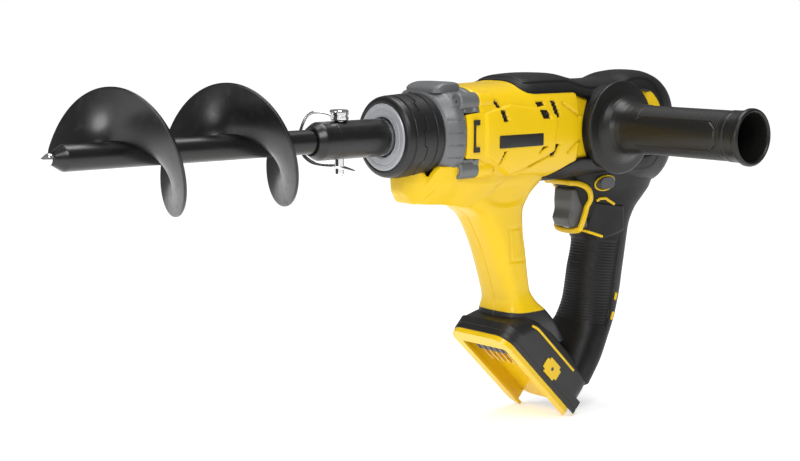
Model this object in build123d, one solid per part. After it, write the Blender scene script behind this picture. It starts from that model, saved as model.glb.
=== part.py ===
from build123d import *
import math
import os

# Battery soil auger: a pistol-and-column powered head, its geared spindle and a pinned auger bit.
# Units are mm. The spindle axis is the X axis, the auger points to -X and Z is up.
# The tool's left side, where the side handle is screwed in, is -Y.

os.makedirs("parts", exist_ok=True)

# ---- auger bit and drive ----
FLIGHT_RADIUS = 40.0
FLIGHT_PITCH = 82.1
FLIGHT_TURNS = 2.0
FLIGHT_THICKNESS = 3.0
FLIGHT_START_X = -228.9
FLIGHT_START_ANGLE = -8.4
SHANK_RADIUS = 8.0
SHANK_FRONT_X = -240.0
SHANK_REAR_X = -14.0
TIP_X = -254.0
SOCKET_RADIUS = 12.65
SOCKET_FRONT_X = -60.5
SOCKET_REAR_X = -1.5
SPINDLE_RADIUS = 10.0
PIN_X = -36.5
PIN_RADIUS = 3.1
PIN_LOW_Z = -24.0
PIN_HEAD_RADIUS = 6.3
PIN_HEAD_LOW_Z = 12.9
PIN_HEAD_TOP_Z = 20.0
BAIL_WIRE_RADIUS = 0.9

# ---- nose and gear case ----
WASHER_RADIUS = 22.8
WASHER_THICKNESS = 3.0
NOSE_TUBE_RADIUS = 21.4
NOSE_BORE_RADIUS = 19.0
COLLAR_REAR_X = 32.0
COLLAR_SEAM_X = 17.0
GEAR_CASE_REAR_X = 60.0
GEAR_CASE_HALF = 33.0
RING_GEAR_RADIUS = 28.0
LOBE_Y = 25.5
LOBE_Z = 23.0

# ---- planetary gears ----
GEAR_MODULE = 0.8
SUN_TEETH = 12
PLANET_TEETH = 24
RING_TEETH = 60
PLANET_COUNT = 3
CENTRE_DISTANCE = GEAR_MODULE * (SUN_TEETH + PLANET_TEETH) / 2
TOOTH_RISE = 0.55
TOOTH_DIP = 0.85
PLANET_PIN_RADIUS = 2.5
RUNNING_GAP = 0.06
STAGE_TWO_FRONT_X = 38.0
STAGE_ONE_FRONT_X = 51.5
GEAR_WIDTH = 7.0

# ---- motor ----
SHAFT_RADIUS = 4.0
STATOR_RADIUS = 27.0
STATOR_BORE = 15.6
STATOR_FRONT_X = 100.0
STATOR_REAR_X = 146.0
ROTOR_RADIUS = 15.0
FAN_X = 156.0
BEARING_RADIUS = 9.5

# ---- housing ----
WALL = 3.0
SKIN = 2.4
BODY_HALF_WIDTH = 34.5
CHEEK_HALF_HEIGHT = 15.5
HANDLE_AXIS_X = 192.7
BOSS_FACE_Y = 39.6
BOSS_RADIUS = 31.0
INSERT_RADIUS = 8.0
INSERT_BORE = 4.25
INSERT_LENGTH = 15.0
TRIGGER_HALF_WIDTH = 8.5
SCREW_PLACES = [(70.0, -44.0, 19.0), (104.0, -76.0, 18.0), (118.0, -110.0, 18.5), (161.0, -31.5, 26.0),
                (252.0, 6.0, 25.0), (244.0, -38.0, 22.0)]
TRIGGER_TRAVEL = 6.0
SELECTOR_X = 200.0
SELECTOR_Z = -42.5
SELECTOR_REACH = 24.6
SELECTOR_TRAVEL = 2.5

# ---- foot: a plate tilted down towards the rear, the battery slides in from its low end ----
FOOT_TILT = 43.6
FOOT_ORIGIN = (100.0, 0.0, -158.4)
FOOT_FRONT = -17.0
FOOT_REAR = 80.0
FOOT_HALF_WIDTH = 30.0
BASE_HEIGHT = 14.0
FOOT_HEIGHT = 38.0
SHELL_EDGE = 31.0
STRIP_LEVEL = 27.0

# ---- side handle ----
HANDLE_END_Y = 160.5
HANDLE_TUBE_RADIUS = 17.8
HANDLE_RIM_RADIUS = 19.7
HANDLE_HOLE_RADIUS = 16.1
FLANGE_RADIUS = 34.0


def save(shape, name):
    """Write one sub-part."""
    shape.label = name
    export_step(shape, "parts/" + name + ".step")


def disc(x_start, x_end, radius):
    """Cylinder on the spindle axis between two X positions."""
    plane = Plane(origin=(x_start, 0, 0), x_dir=(0, 1, 0), z_dir=(1, 0, 0))
    return extrude(plane * Circle(radius), x_end - x_start)


def ring(x_start, x_end, outer, inner):
    """Hollow cylinder on the spindle axis."""
    return disc(x_start, x_end, outer) - disc(x_start - 1, x_end + 1, inner)


def rod(x, y, z, direction, radius, length):
    """Cylinder from a point along a direction."""
    return extrude(Plane(origin=(x, y, z), z_dir=direction) * Circle(radius), length)


def slab(points, half_width, centre_y=0.0):
    """Outline in X and Z carried across the tool's width."""
    plane = Plane(origin=(0, centre_y + half_width, 0), x_dir=(1, 0, 0), z_dir=(0, -1, 0))
    outline = make_face(Polyline(*points, close=True))
    return extrude(plane * outline, 2 * half_width)


def box(x_low, x_high, y_low, y_high, z_low, z_high):
    """Axis-aligned block from its limits."""
    centre = Pos((x_low + x_high) / 2, (y_low + y_high) / 2, (z_low + z_high) / 2)
    return centre * Box(x_high - x_low, y_high - y_low, z_high - z_low)


def about_spindle(profile):
    """Turned piece on the spindle axis from (x, radius) points."""
    face = make_face(Polyline(*profile, close=True))
    return revolve(Plane.XY * face, Axis.X)


def barrel_solid(inset):
    """Motor barrel: rounded sections along X as (x, half width, top, bottom, corner)."""
    stations = [
        (60.0, 34.0, 33.5, -34.0, 15.0),
        (104.0, 34.5, 34.5, -36.0, 15.0),
        (116.0, 34.5, 37.8, -37.0, 17.0),
        (150.0, 34.5, 38.0, -37.0, 17.0),
        (164.0, 34.5, 35.5, -36.0, 16.0),
        (178.0, 34.5, 32.6, -36.0, 15.0),
        (212.0, 34.0, 32.6, -38.0, 15.0),
        (227.0, 33.0, 37.5, -42.0, 17.0),
        (248.0, 31.0, 38.0, -46.0, 17.0),
        (262.0, 28.0, 35.5, -46.0, 16.0),
        (273.0, 23.0, 30.0, -42.0, 14.0),
        (281.0, 15.0, 20.0, -33.0, 10.0),
    ]
    sections = []
    for x, half, top, bottom, corner in stations:
        reach = x
        if x == stations[0][0]:
            reach = x + inset
        if x == stations[-1][0]:
            reach = x - inset
        plane = Plane(origin=(reach, 0, (top + bottom) / 2), x_dir=(0, 1, 0), z_dir=(1, 0, 0))
        section = RectangleRounded(2 * (half - inset), top - bottom - 2 * inset, max(corner - inset, 2.0))
        sections.append(plane * section)
    return loft(sections, ruled=True)


def upright_solid(stations, inset):
    """Rounded horizontal sections stacked in Z as (z, front x, rear x, half width, corner)."""
    sections = []
    for z, front, rear, half, corner in stations:
        plane = Plane(origin=((front + rear) / 2, 0, z), x_dir=(1, 0, 0), z_dir=(0, 0, 1))
        section = RectangleRounded(rear - front - 2 * inset, 2 * (half - inset), max(corner - inset, 1.5))
        sections.append(plane * section)
    return loft(sections, ruled=True)


def column_solid(inset):
    """Front column between the chin and the foot."""
    stations = [
        (-24.0, 61.0, 152.0, 26.0, 11.0),
        (-36.0, 61.0, 140.0, 24.0, 11.0),
        (-47.0, 61.0, 129.0, 21.5, 11.0),
        (-60.0, 78.0, 123.0, 19.5, 11.0),
        (-86.0, 94.0, 125.5, 19.0, 11.0),
        (-115.0, 105.0, 129.5, 19.0, 10.0),
        (-127.0, 108.0, 139.5, 22.0, 10.0),
        (-140.0, 104.0, 154.0, 26.0, 10.0),
        (-158.0, 98.0, 176.0, 27.5, 10.0),
    ]
    return upright_solid(stations, inset)


def grip_solid(inset):
    """Rear pistol grip between the barrel and the foot."""
    stations = [
        (-26.0, 172.0, 271.0, 26.0, 14.0),
        (-44.0, 177.0, 268.0, 22.0, 14.0),
        (-56.0, 182.0, 263.0, 19.5, 14.0),
        (-66.0, 188.0, 249.5, 19.0, 14.0),
        (-78.0, 193.0, 242.5, 19.0, 15.0),
        (-89.0, 195.0, 240.0, 19.0, 15.0),
        (-110.0, 190.0, 236.5, 19.0, 15.0),
        (-131.0, 187.0, 232.5, 19.5, 15.0),
        (-146.0, 183.0, 224.5, 22.0, 15.0),
        (-160.0, 174.0, 214.0, 25.0, 15.0),
        (-176.0, 162.0, 202.5, 27.5, 15.0),
        (-192.0, 146.0, 190.0, 29.0, 15.0),
    ]
    grip = upright_solid(stations, inset)
    return grip - foot_block(FOOT_REAR + 1.5 - inset, FOOT_REAR + 160, 80, -60, 90, 2.0)


def chin_solid():
    """Keel under the collar: a V-bottomed prow running into the column."""
    plane = Plane(origin=(13, 0, 0), x_dir=(0, 1, 0), z_dir=(1, 0, 0))
    outline = make_face(Polyline((-28, -20), (-26, -31), (-9, -47), (9, -47), (26, -31), (28, -20), close=True))
    keel = extrude(plane * outline, 80)
    nose_cut = slab([(5, -37), (13, -37.5), (22.5, -47.2), (22.5, -60), (5, -60)], 40)
    heel_cut = slab([(54, -47.1), (95, -64), (100, -30), (100, -70), (54, -60)], 40)
    return keel - nose_cut - heel_cut - disc(0, COLLAR_REAR_X + 0.5, 30.0)


def case_block(x_start, x_end, grow):
    """Eight-lobed outline of the gear case, carried along X."""
    flat = GEAR_CASE_HALF + grow
    corner = 30.5 + grow
    outer = 34.0 + grow
    outline = [
        (-20, flat), (20, flat), (27, corner), (32 + grow, 25), (outer, 15), (outer, -15), (32 + grow, -25),
        (27, -corner), (20, -flat), (-20, -flat), (-27, -corner), (-32 - grow, -25), (-outer, -15), (-outer, 15),
        (-32 - grow, 25), (-27, corner),
    ]
    plane = Plane(origin=(x_start, 0, 0), x_dir=(0, 1, 0), z_dir=(1, 0, 0))
    return extrude(plane * make_face(Polyline(*outline, close=True)), x_end - x_start)


def cheek_block(side, x_start, half_height, inner):
    """Flat block beside the gear case where the clamshell laps over it."""
    outer = BODY_HALF_WIDTH - 0.1
    return Pos((x_start + 61) / 2, side * (inner + outer) / 2, 0) * Box(61 - x_start, outer - inner, 2 * half_height)


def foot_frame():
    """Plane of the foot: local X runs down its length, local Y is across, local Z into the tool."""
    tilt = math.radians(FOOT_TILT)
    along = (math.cos(tilt), 0, -math.sin(tilt))
    normal = (math.sin(tilt), 0, math.cos(tilt))
    return Plane(origin=FOOT_ORIGIN, x_dir=along, z_dir=normal)


def foot_block(front, rear, half_width, low, high, corner):
    """Rounded plate in the foot's own frame."""
    centre = ((front + rear) / 2, 0)
    plan = Pos(centre[0], centre[1]) * RectangleRounded(rear - front, 2 * half_width, corner)
    base = foot_frame().offset(low)
    return extrude(base * plan, high - low)


def below_foot(level):
    """Everything on the battery side of a level in the foot."""
    plane = foot_frame().offset(level)
    return extrude(plane * Rectangle(600, 300), -300)


def envelope():
    """Outer shape of the two clamshells before anything is cut away."""
    body = barrel_solid(0) + column_solid(0) + grip_solid(0) + chin_solid()
    body -= case_block(20, GEAR_CASE_REAR_X, 0.05)
    for side in (-1, 1):
        body += rod(HANDLE_AXIS_X, side * 30, 0, (0, side, 0), BOSS_RADIUS, BOSS_FACE_Y - 30)
        body += cheek_block(side, 47.4, CHEEK_HALF_HEIGHT - 0.1, 30.7)
        body -= clip_inset(side)
    return body


def cover_region():
    """Side view of the soft cover over the top and rear of the barrel."""
    points = [
        (66, 27), (92, 30), (108, 26), (122, 27), (140, 26.5), (150, 24), (160, 22), (176, 25),
        (214, 25), (226, 18), (236, 24), (250, 12), (262, -8), (276, -30), (300, -46), (300, 60), (66, 60),
    ]
    return slab(points, 60)


def housing_cavity():
    """Hollow inside the clamshells."""
    barrel = barrel_solid(SKIN + WALL) - box(50, 66, -60, 60, -60, 60)
    column = column_solid(WALL) - below_foot(BASE_HEIGHT + 6) - box(0, 200, -60, 60, -28, 0)
    grip = grip_solid(SKIN + WALL) - below_foot(BASE_HEIGHT + 6)
    return barrel + column + grip


def bearing_webs():
    """Ribs inside the barrel that carry the motor bearings, the stator and the handle inserts."""
    core = barrel_solid(SKIN + WALL - 0.4)
    webs = box(67, 73, -60, 60, -60, 60) + box(170, 176, -60, 60, -60, 60)
    webs += box(110, 114, -60, 60, -60, 60) + box(134, 138, -60, 60, -60, 60)
    webs = webs & core
    webs = webs - disc(60, 74, BEARING_RADIUS) - disc(169, 177, BEARING_RADIUS)
    webs = webs - disc(109, 139, STATOR_RADIUS)
    for side in (-1, 1):
        webs += rod(HANDLE_AXIS_X, side * 22, 0, (0, side, 0), INSERT_RADIUS + 3, 14)
    return webs


def trigger_outline(grow):
    """Side outline of the trigger, grown all round by a gap."""
    return [
        (184 - grow, -47 + grow), (178.5 - grow, -57), (175.5 - grow, -69), (179 - grow, -76.5 - grow),
        (187, -80 - grow), (202 + grow, -80 - grow), (202 + grow, -47 + grow),
    ]


def bezel_block():
    """Block at the front of the grip that the trigger frame is cut from."""
    return box(176, 197.5, -12.5, 12.5, -84.5, -45.2)


def vent_slots():
    """Air slots through both sides of the barrel."""
    slots = [
        (76, 21, 4, 7), (81, 12, 5, 9), (115, 20, 8, 3.5), (117, 12, 8, 5), (131, 16, 4.5, 12),
        (80, -15, 4, 9), (117, -13, 8, 5.5), (112, -21, 8, 4), (131, -14, 4.5, 9), (72, -25, 4, 3),
    ]
    cut = []
    for x, z, length, height in slots:
        for side in (-1, 1):
            cut.append(Pos(x, side * 34, z) * Box(length, 14, height))
    return cut


def screw_bosses():
    """Posts inside the clamshells that the housing screws pass through."""
    posts = []
    for x, z, reach in SCREW_PLACES:
        posts.append(rod(x, -reach, z, (0, 1, 0), 4.4, 2 * reach))
    return posts


def clamshell_body():
    """Both clamshells as one body, ready to be split on the middle plane."""
    body = envelope() - below_foot(BASE_HEIGHT)
    body = body - (cover_region() & (barrel_solid(0) - barrel_solid(SKIN)))
    body = body - (grip_sleeve_region() & (grip_solid(-0.01) - grip_solid(SKIN)))
    body = body - housing_cavity() + bearing_webs()
    for post in screw_bosses():
        body += post
    for x, z, reach in SCREW_PLACES:
        body -= rod(x, reach - 4.5, z, (0, 1, 0), 3.4, 30)
        body -= rod(x, 6 - reach, z, (0, 1, 0), 1.7, 2 * reach)
    body = body - disc(GEAR_CASE_REAR_X - 1, 67, 30.0)
    for side in (-1, 1):
        body -= rod(HANDLE_AXIS_X, side * 20, 0, (0, side, 0), INSERT_RADIUS, 30)
        for z in (-LOBE_Z, LOBE_Z):
            body -= rod(60, side * LOBE_Y, z, (1, 0, 0), 2.0, 14)
    for slot in vent_slots():
        body -= slot
    body -= slab(trigger_outline(0.5), TRIGGER_HALF_WIDTH + 0.5)
    body -= bezel_block()
    body -= selector_shape(0.4, 60)
    return body


def grip_sleeve_region():
    """Where the soft sleeve wraps the grip."""
    return slab([(160, -82), (186, -82), (205, -70), (300, -52), (300, -230), (140, -230), (140, -140), (160, -120)], 40)


def housing_half(body, side):
    """One clamshell: -1 is the left shell, 1 the right shell."""
    half = box(-20, 320, 0, side * 80, -300, 80) if side > 0 else box(-20, 320, side * 80, 0, -300, 80)
    return body & half


def selector_shape(grow, length):
    """Capsule of the direction selector, running across the tool."""
    plane = Plane(origin=(SELECTOR_X, -length / 2, SELECTOR_Z), x_dir=(1, 0, 0), z_dir=(0, 1, 0))
    return extrude(plane * SlotOverall(15 + 2 * grow, 8.6 + 2 * grow), length)


def build_shells():
    """Yellow clamshells, the soft cover and the grip sleeve."""
    body = clamshell_body()
    save(housing_half(body, -1), "housing_left")
    save(housing_half(body, 1), "housing_right")
    cover = cover_region() & (barrel_solid(0) - barrel_solid(SKIN))
    cover -= grip_solid(0)
    save(cover, "top_cover")
    sleeve = (grip_sleeve_region() & (grip_solid(0) - grip_solid(SKIN))) - below_foot(FOOT_HEIGHT)
    sleeve -= barrel_solid(0)
    sleeve -= slab(trigger_outline(0.5), TRIGGER_HALF_WIDTH + 0.5)
    sleeve -= bezel_block()
    save(sleeve, "grip_sleeve")


def build_side_labels():
    """Plain label plates set on both sides of the barrel."""
    plates = []
    for side in (-1, 1):
        plates.append(Pos(97, side * (BODY_HALF_WIDTH + 0.4), -5) * Box(43, 0.6, 9))
    save(Compound(children=plates), "label_plates")


def clip_inset(side):
    """Bracket-shaped dark piece let into the clamshell behind the gear case."""
    bracket = Pos(55.5, side * 34.0, 0) * Box(5.0, 2.0, 22)
    return bracket - Pos(56.8, side * 34.0, 0) * Box(5.0, 3.0, 15)


def build_clip_insets():
    """The bracket on each side."""
    save(Compound(children=[clip_inset(-1), clip_inset(1)]), "clip_insets")


def build_gear_case():
    """Grey die-cast case with the nose tube that carries the collars."""
    half = GEAR_CASE_HALF
    case = case_block(COLLAR_REAR_X, GEAR_CASE_REAR_X - 0.05, 0)
    for side in (-1, 1):
        for z in (-21, -12.5, -4.2, 4.2, 12.5, 21):
            case -= Pos(39.5, side * 34.5, z) * Box(11, 1.8, 1.2)
        for z in (-LOBE_Z, LOBE_Z):
            case += rod(44, side * LOBE_Y, z, (1, 0, 0), 6.0, 15.9)
        case -= cheek_block(side, 47.2, CHEEK_HALF_HEIGHT, 30.6)
    for x in (35.5, 40.5, 45.5, 50.5):
        case += Pos(x, 0, half + 0.6) * Box(2.6, 34, 1.6)
    case += disc(WASHER_THICKNESS, 33, NOSE_TUBE_RADIUS)
    case -= disc(0, 33, NOSE_BORE_RADIUS)
    case -= disc(33, 61, RING_GEAR_RADIUS)
    for side in (-1, 1):
        for z in (-LOBE_Z, LOBE_Z):
            case -= rod(30, side * LOBE_Y, z, (1, 0, 0), 2.0, 40)
            case -= rod(30, side * LOBE_Y, z, (1, 0, 0), 3.9, 18)
    save(case, "gear_case")


def build_case_screws():
    """Four socket screws that clamp the gear case to the barrel."""
    screws = []
    for side in (-1, 1):
        for z in (-LOBE_Z, LOBE_Z):
            head = rod(43.8, side * LOBE_Y, z, (1, 0, 0), 3.8, 4.2)
            key = extrude(Plane(origin=(43.7, side * LOBE_Y, z), z_dir=(1, 0, 0)) * RegularPolygon(1.7, 6), 2.2)
            shank = rod(48, side * LOBE_Y, z, (1, 0, 0), 1.95, 24)
            screws.append(head - key + shank)
    save(Compound(children=screws), "case_screws")


def build_housing_screws():
    """Screws that hold the two clamshells together, driven from the right."""
    screws = []
    for x, z, reach in SCREW_PLACES:
        head = rod(x, reach - 4.5, z, (0, 1, 0), 3.3, 2.6)
        key = extrude(Plane(origin=(x, reach - 3.2, z), z_dir=(0, 1, 0)) * RegularPolygon(1.8, 6), 2.0)
        screws.append(head - key + rod(x, 7 - reach, z, (0, 1, 0), 1.65, 2 * reach - 11.5))
    save(Compound(children=screws), "housing_screws")


def build_nose():
    """Washer, spindle ring and the two collars round the nose tube."""
    save(about_spindle([
        (0.8, 13.4), (0, 14.2), (0, 22.0), (0.8, WASHER_RADIUS), (WASHER_THICKNESS, WASHER_RADIUS),
        (WASHER_THICKNESS, 13.4),
    ]), "nose_washer")
    front = about_spindle([
        (WASHER_THICKNESS, 21.5), (WASHER_THICKNESS, 22.9), (0.9, 22.9), (0.4, 24.4), (1.2, 26.4), (3.0, 27.4), (6.0, 27.8), (6.4, 27.2),
        (7.4, 27.2), (7.8, 27.9), (COLLAR_SEAM_X, 28.2), (COLLAR_SEAM_X, 21.5),
    ])
    rear = about_spindle([
        (COLLAR_SEAM_X, 21.5), (COLLAR_SEAM_X, 28.3), (31.0, 29.0), (COLLAR_REAR_X, 28.4), (COLLAR_REAR_X, 21.5),
    ])
    teeth = []
    for step in range(8):
        tooth = Rot(45 * step, 0, 0) * (Pos(COLLAR_SEAM_X, 0, 26.5) * Box(5.0, 9.0, 3.0))
        teeth.append(tooth)
    for tooth in teeth:
        front -= tooth
        rear += tooth & ring(COLLAR_SEAM_X - 2.5, COLLAR_SEAM_X, 28.2, 25.0)
    save(front, "collar_front")
    save(rear, "collar_rear")
    save(ring(3.2, 7.8, NOSE_BORE_RADIUS, SPINDLE_RADIUS + 0.4), "nose_seal")
    save(ring(8, 18, NOSE_BORE_RADIUS, 16.2), "front_bearing_outer")


def build_spindle():
    """Drive socket, output shaft with carrier, bearing inner ring and balls."""
    socket = about_spindle([
        (SOCKET_FRONT_X, 8.1), (SOCKET_FRONT_X, 9.4), (SOCKET_FRONT_X + 5.5, SOCKET_RADIUS),
        (SOCKET_REAR_X - 2.5, SOCKET_RADIUS), (SOCKET_REAR_X - 0.6, 11.8), (SOCKET_REAR_X, SPINDLE_RADIUS),
        (33.0, SPINDLE_RADIUS), (33.0, 0), (SHANK_REAR_X + 1, 0), (SHANK_REAR_X + 1, 8.1),
    ])
    socket -= rod(PIN_X, 0, -20, (0, 0, 1), PIN_RADIUS + 0.1, 40)
    save(socket, "drive_socket")
    save(ring(SOCKET_REAR_X, 1.6, 12.5, SPINDLE_RADIUS), "spindle_ring")
    carrier = disc(33.0, 37.4, 19.5)
    for step in range(PLANET_COUNT):
        angle = math.radians(360 / PLANET_COUNT * step)
        y, z = CENTRE_DISTANCE * math.cos(angle), CENTRE_DISTANCE * math.sin(angle)
        carrier += rod(37.4, y, z, (1, 0, 0), PLANET_PIN_RADIUS, GEAR_WIDTH + 1.2)
    save(carrier, "output_carrier")
    save(ring(8, 18, 13.0, SPINDLE_RADIUS), "front_bearing_inner")
    balls = []
    for step in range(12):
        angle = math.radians(30 * step)
        balls.append(Pos(13, 14.45 * math.cos(angle), 14.45 * math.sin(angle)) * Sphere(1.4))
    save(Compound(children=balls), "front_bearing_balls")


def build_auger():
    """Shaft, helical flight and pilot tip of the auger bit."""
    shaft = disc(SHANK_FRONT_X, SHANK_REAR_X, SHANK_RADIUS)
    shaft -= ring(SHANK_FRONT_X - 1, SHANK_FRONT_X + 1.2, 12, 6.8)
    shaft -= rod(PIN_X, 0, -20, (0, 0, 1), PIN_RADIUS + 0.1, 40)
    save(shaft, "auger_shaft")
    middle = (SHANK_RADIUS - 1.5 + FLIGHT_RADIUS) / 2
    width = FLIGHT_RADIUS - SHANK_RADIUS + 1.5
    path = Helix(FLIGHT_PITCH, FLIGHT_PITCH * FLIGHT_TURNS, middle, direction=(1, 0, 0))
    start = path @ 0
    radial = Vector(0, start.Y, start.Z)
    section = Plane(origin=start, x_dir=radial, z_dir=path % 0) * Rectangle(width, FLIGHT_THICKNESS)
    flight = sweep(section, path=path, is_frenet=True)
    turn = FLIGHT_START_ANGLE - math.degrees(math.atan2(start.Z, start.Y))
    flight = Pos(FLIGHT_START_X, 0, 0) * (Rot(turn, 0, 0) * flight)
    flight = flight - disc(SHANK_FRONT_X, SHANK_REAR_X, SHANK_RADIUS)
    save(flight, "auger_flight")
    base = Plane(origin=(SHANK_FRONT_X, 0, 0), x_dir=(0, 1, 0), z_dir=(-1, 0, 0))
    point = base.offset(SHANK_FRONT_X - TIP_X)
    save(loft([base * Rectangle(9.4, 9.4), point * Rectangle(0.6, 0.6)], ruled=True), "auger_tip")


def build_lock_pin():
    """Cross pin through the socket and its wire keeper."""
    pin = rod(PIN_X, 0, PIN_LOW_Z, (0, 0, 1), PIN_RADIUS, PIN_HEAD_LOW_Z - PIN_LOW_Z)
    pin += rod(PIN_X, 0, PIN_HEAD_LOW_Z, (0, 0, 1), PIN_HEAD_RADIUS, PIN_HEAD_TOP_Z - PIN_HEAD_LOW_Z)
    pin = chamfer(pin.edges().group_by(Axis.Z)[0], 0.8)
    save(pin, "lock_pin")
    bulge = (-0.74, 0.673)
    side = (0.673, 0.74)
    profile = [
        (4.5, 16.4, 3.0), (12.0, 18.3, 3.0), (19.0, 17.2, 3.0), (24.0, 10.0, 3.0), (26.0, 0.0, 3.0),
        (24.0, -9.0, 3.2), (17.0, -15.2, 4.2), (8.0, -17.0, 4.4), (0.0, -17.6, 4.2), (-6.0, -19.2, 2.6),
        (-9.5, -20.3, 0.0),
    ]
    points = []
    for reach, z, spread in profile:
        points.append((PIN_X + bulge[0] * reach + side[0] * spread, bulge[1] * reach + side[1] * spread, z))
    for reach, z, spread in reversed(profile[:-1]):
        points.append((PIN_X + bulge[0] * reach - side[0] * spread, bulge[1] * reach - side[1] * spread, z))
    wire = Spline(*points)
    start = Plane(origin=wire @ 0, z_dir=wire % 0)
    bail = sweep(start * Circle(BAIL_WIRE_RADIUS), path=wire)
    head = rod(PIN_X, 0, PIN_HEAD_LOW_Z, (0, 0, 1), PIN_HEAD_RADIUS, PIN_HEAD_TOP_Z - PIN_HEAD_LOW_Z)
    save(bail - head, "pin_bail")


def gear_profile(teeth, rise, dip, phase):
    """Outline of a spur gear with straight-flanked slim teeth."""
    pitch_radius = GEAR_MODULE * teeth / 2
    tooth = 360 / teeth
    points = []
    for index in range(teeth):
        centre = phase + index * tooth
        for offset, radius in ((-0.34, -dip), (-0.11, rise), (0.11, rise), (0.34, -dip)):
            angle = math.radians(centre + offset * tooth)
            reach = pitch_radius + radius
            points.append((reach * math.cos(angle), reach * math.sin(angle)))
    return make_face(Polyline(*points, close=True))


def spur(x_start, teeth, phase, bore):
    """External gear on the spindle axis."""
    plane = Plane(origin=(x_start, 0, 0), x_dir=(0, 1, 0), z_dir=(1, 0, 0))
    gear = extrude(plane * gear_profile(teeth, TOOTH_RISE, TOOTH_DIP, phase), GEAR_WIDTH)
    if bore > 0:
        gear -= disc(x_start - 1, x_start + GEAR_WIDTH + 1, bore)
    return gear


def build_gears():
    """Ring gear, six planets, stage-one carrier with its sun, and the closing plate."""
    plane = Plane(origin=(37.0, 0, 0), x_dir=(0, 1, 0), z_dir=(1, 0, 0))
    hollow = extrude(plane * gear_profile(RING_TEETH, TOOTH_DIP, TOOTH_RISE, 180 / RING_TEETH), 22.0)
    save(disc(37.0, 59.0, RING_GEAR_RADIUS) - hollow, "ring_gear")
    for stage, front in (("one", STAGE_ONE_FRONT_X), ("two", STAGE_TWO_FRONT_X)):
        for step in range(PLANET_COUNT):
            angle = math.radians(360 / PLANET_COUNT * step)
            y, z = CENTRE_DISTANCE * math.cos(angle), CENTRE_DISTANCE * math.sin(angle)
            planet = spur(front, PLANET_TEETH, 360 / PLANET_TEETH / 2, PLANET_PIN_RADIUS + RUNNING_GAP)
            save(Pos(0, y, z) * planet, "planet_" + stage + "_" + "abc"[step])
    carrier = disc(47.2, 50.8, 19.5) + spur(STAGE_TWO_FRONT_X + 0.3, SUN_TEETH, 0, 0)
    carrier += disc(44.0, 48.0, 3.6)
    for step in range(PLANET_COUNT):
        angle = math.radians(360 / PLANET_COUNT * step)
        y, z = CENTRE_DISTANCE * math.cos(angle), CENTRE_DISTANCE * math.sin(angle)
        carrier += rod(50.8, y, z, (1, 0, 0), PLANET_PIN_RADIUS, GEAR_WIDTH + 1.0)
    save(carrier, "stage_carrier")
    plate = ring(GEAR_CASE_REAR_X, 66.9, 30.0, 7.0)
    save(plate, "gear_plate")


def build_motor():
    """Rotor with pinion, stator, coils, fan and bearings."""
    shaft = disc(58.0, 178.0, SHAFT_RADIUS) + spur(STAGE_ONE_FRONT_X + 0.2, SUN_TEETH, 0, 0)
    save(shaft, "rotor_shaft")
    save(ring(STATOR_FRONT_X + 1, STATOR_REAR_X - 1, ROTOR_RADIUS, SHAFT_RADIUS), "rotor_core")
    stator = ring(STATOR_FRONT_X + 6, STATOR_REAR_X - 6, STATOR_RADIUS, STATOR_BORE)
    coils = []
    for step in range(6):
        slot = Rot(60 * step, 0, 0) * (Pos(123, 0, 20) * Box(80, 8, 5))
        stator -= slot
        coil = Rot(60 * step, 0, 0) * (Pos(123, 0, 20) * Box(STATOR_REAR_X - STATOR_FRONT_X, 8, 5))
        coils.append(coil)
    save(stator, "stator")
    save(Compound(children=coils), "stator_coils")
    fan = ring(FAN_X, FAN_X + 2, 25.0, SHAFT_RADIUS)
    for step in range(9):
        fan += Rot(40 * step, 0, 0) * (Pos(FAN_X + 5, 0, 16) * Box(8, 1.4, 17))
    fan += ring(FAN_X, FAN_X + 9, 7.0, SHAFT_RADIUS)
    save(fan, "cooling_fan")
    save(ring(67.0, 73.0, BEARING_RADIUS, SHAFT_RADIUS + RUNNING_GAP), "motor_bearing_front")
    save(ring(170.0, 176.0, BEARING_RADIUS, SHAFT_RADIUS + RUNNING_GAP), "motor_bearing_rear")


def build_controls():
    """Trigger, its guide, spring and switch, the bezel and the direction selector."""
    trigger = slab(trigger_outline(0), TRIGGER_HALF_WIDTH)
    trigger -= rod(166.6, -20, -64, (0, 1, 0), 11.0, 40)
    trigger -= box(190, 205, -6.5, 6.5, -77, -49)
    save(trigger, "trigger")
    frame = bezel_block()
    frame &= grip_solid(-0.8)
    frame -= selector_shape(0.6, 60)
    frame -= slab(trigger_outline(0.5), TRIGGER_HALF_WIDTH + 0.5)
    save(frame, "trigger_bezel")
    switch = box(210, 232, -7.5, 7.5, -76, -54)
    save(switch, "trigger_switch")
    coil_path = Helix(2.6, 18.0, 3.4, center=(191.2, 0, -63), direction=(1, 0, 0))
    section = Plane(origin=coil_path @ 0, z_dir=coil_path % 0) * Circle(0.5)
    save(sweep(section, path=coil_path, is_frenet=True), "trigger_spring")
    selector = selector_shape(0, 2 * SELECTOR_REACH) - box(180, 220, -13, 13, -60, -30)
    selector += box(SELECTOR_X - 4, SELECTOR_X + 4, -13, 13, SELECTOR_Z - 2.2, SELECTOR_Z + 2.5)
    save(selector, "direction_selector")


def build_electronics():
    """Control board low in the grip."""
    board = box(205, 207, -11.5, 11.5, -128, -92)
    for z in (-122, -113, -104):
        board += box(207, 213, -9, 9, z - 3, z + 3)
    save(board, "control_board")


def build_inserts():
    """Threaded steel inserts that take the side handle on either side."""
    for side, name in ((-1, "handle_insert_left"), (1, "handle_insert_right")):
        start = side * (BOSS_FACE_Y - INSERT_LENGTH)
        insert = rod(HANDLE_AXIS_X, start, 0, (0, side, 0), INSERT_RADIUS, INSERT_LENGTH)
        insert -= rod(HANDLE_AXIS_X, start - side * 5, 0, (0, side, 0), INSERT_BORE, INSERT_LENGTH + 10)
        save(insert, name)


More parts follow.
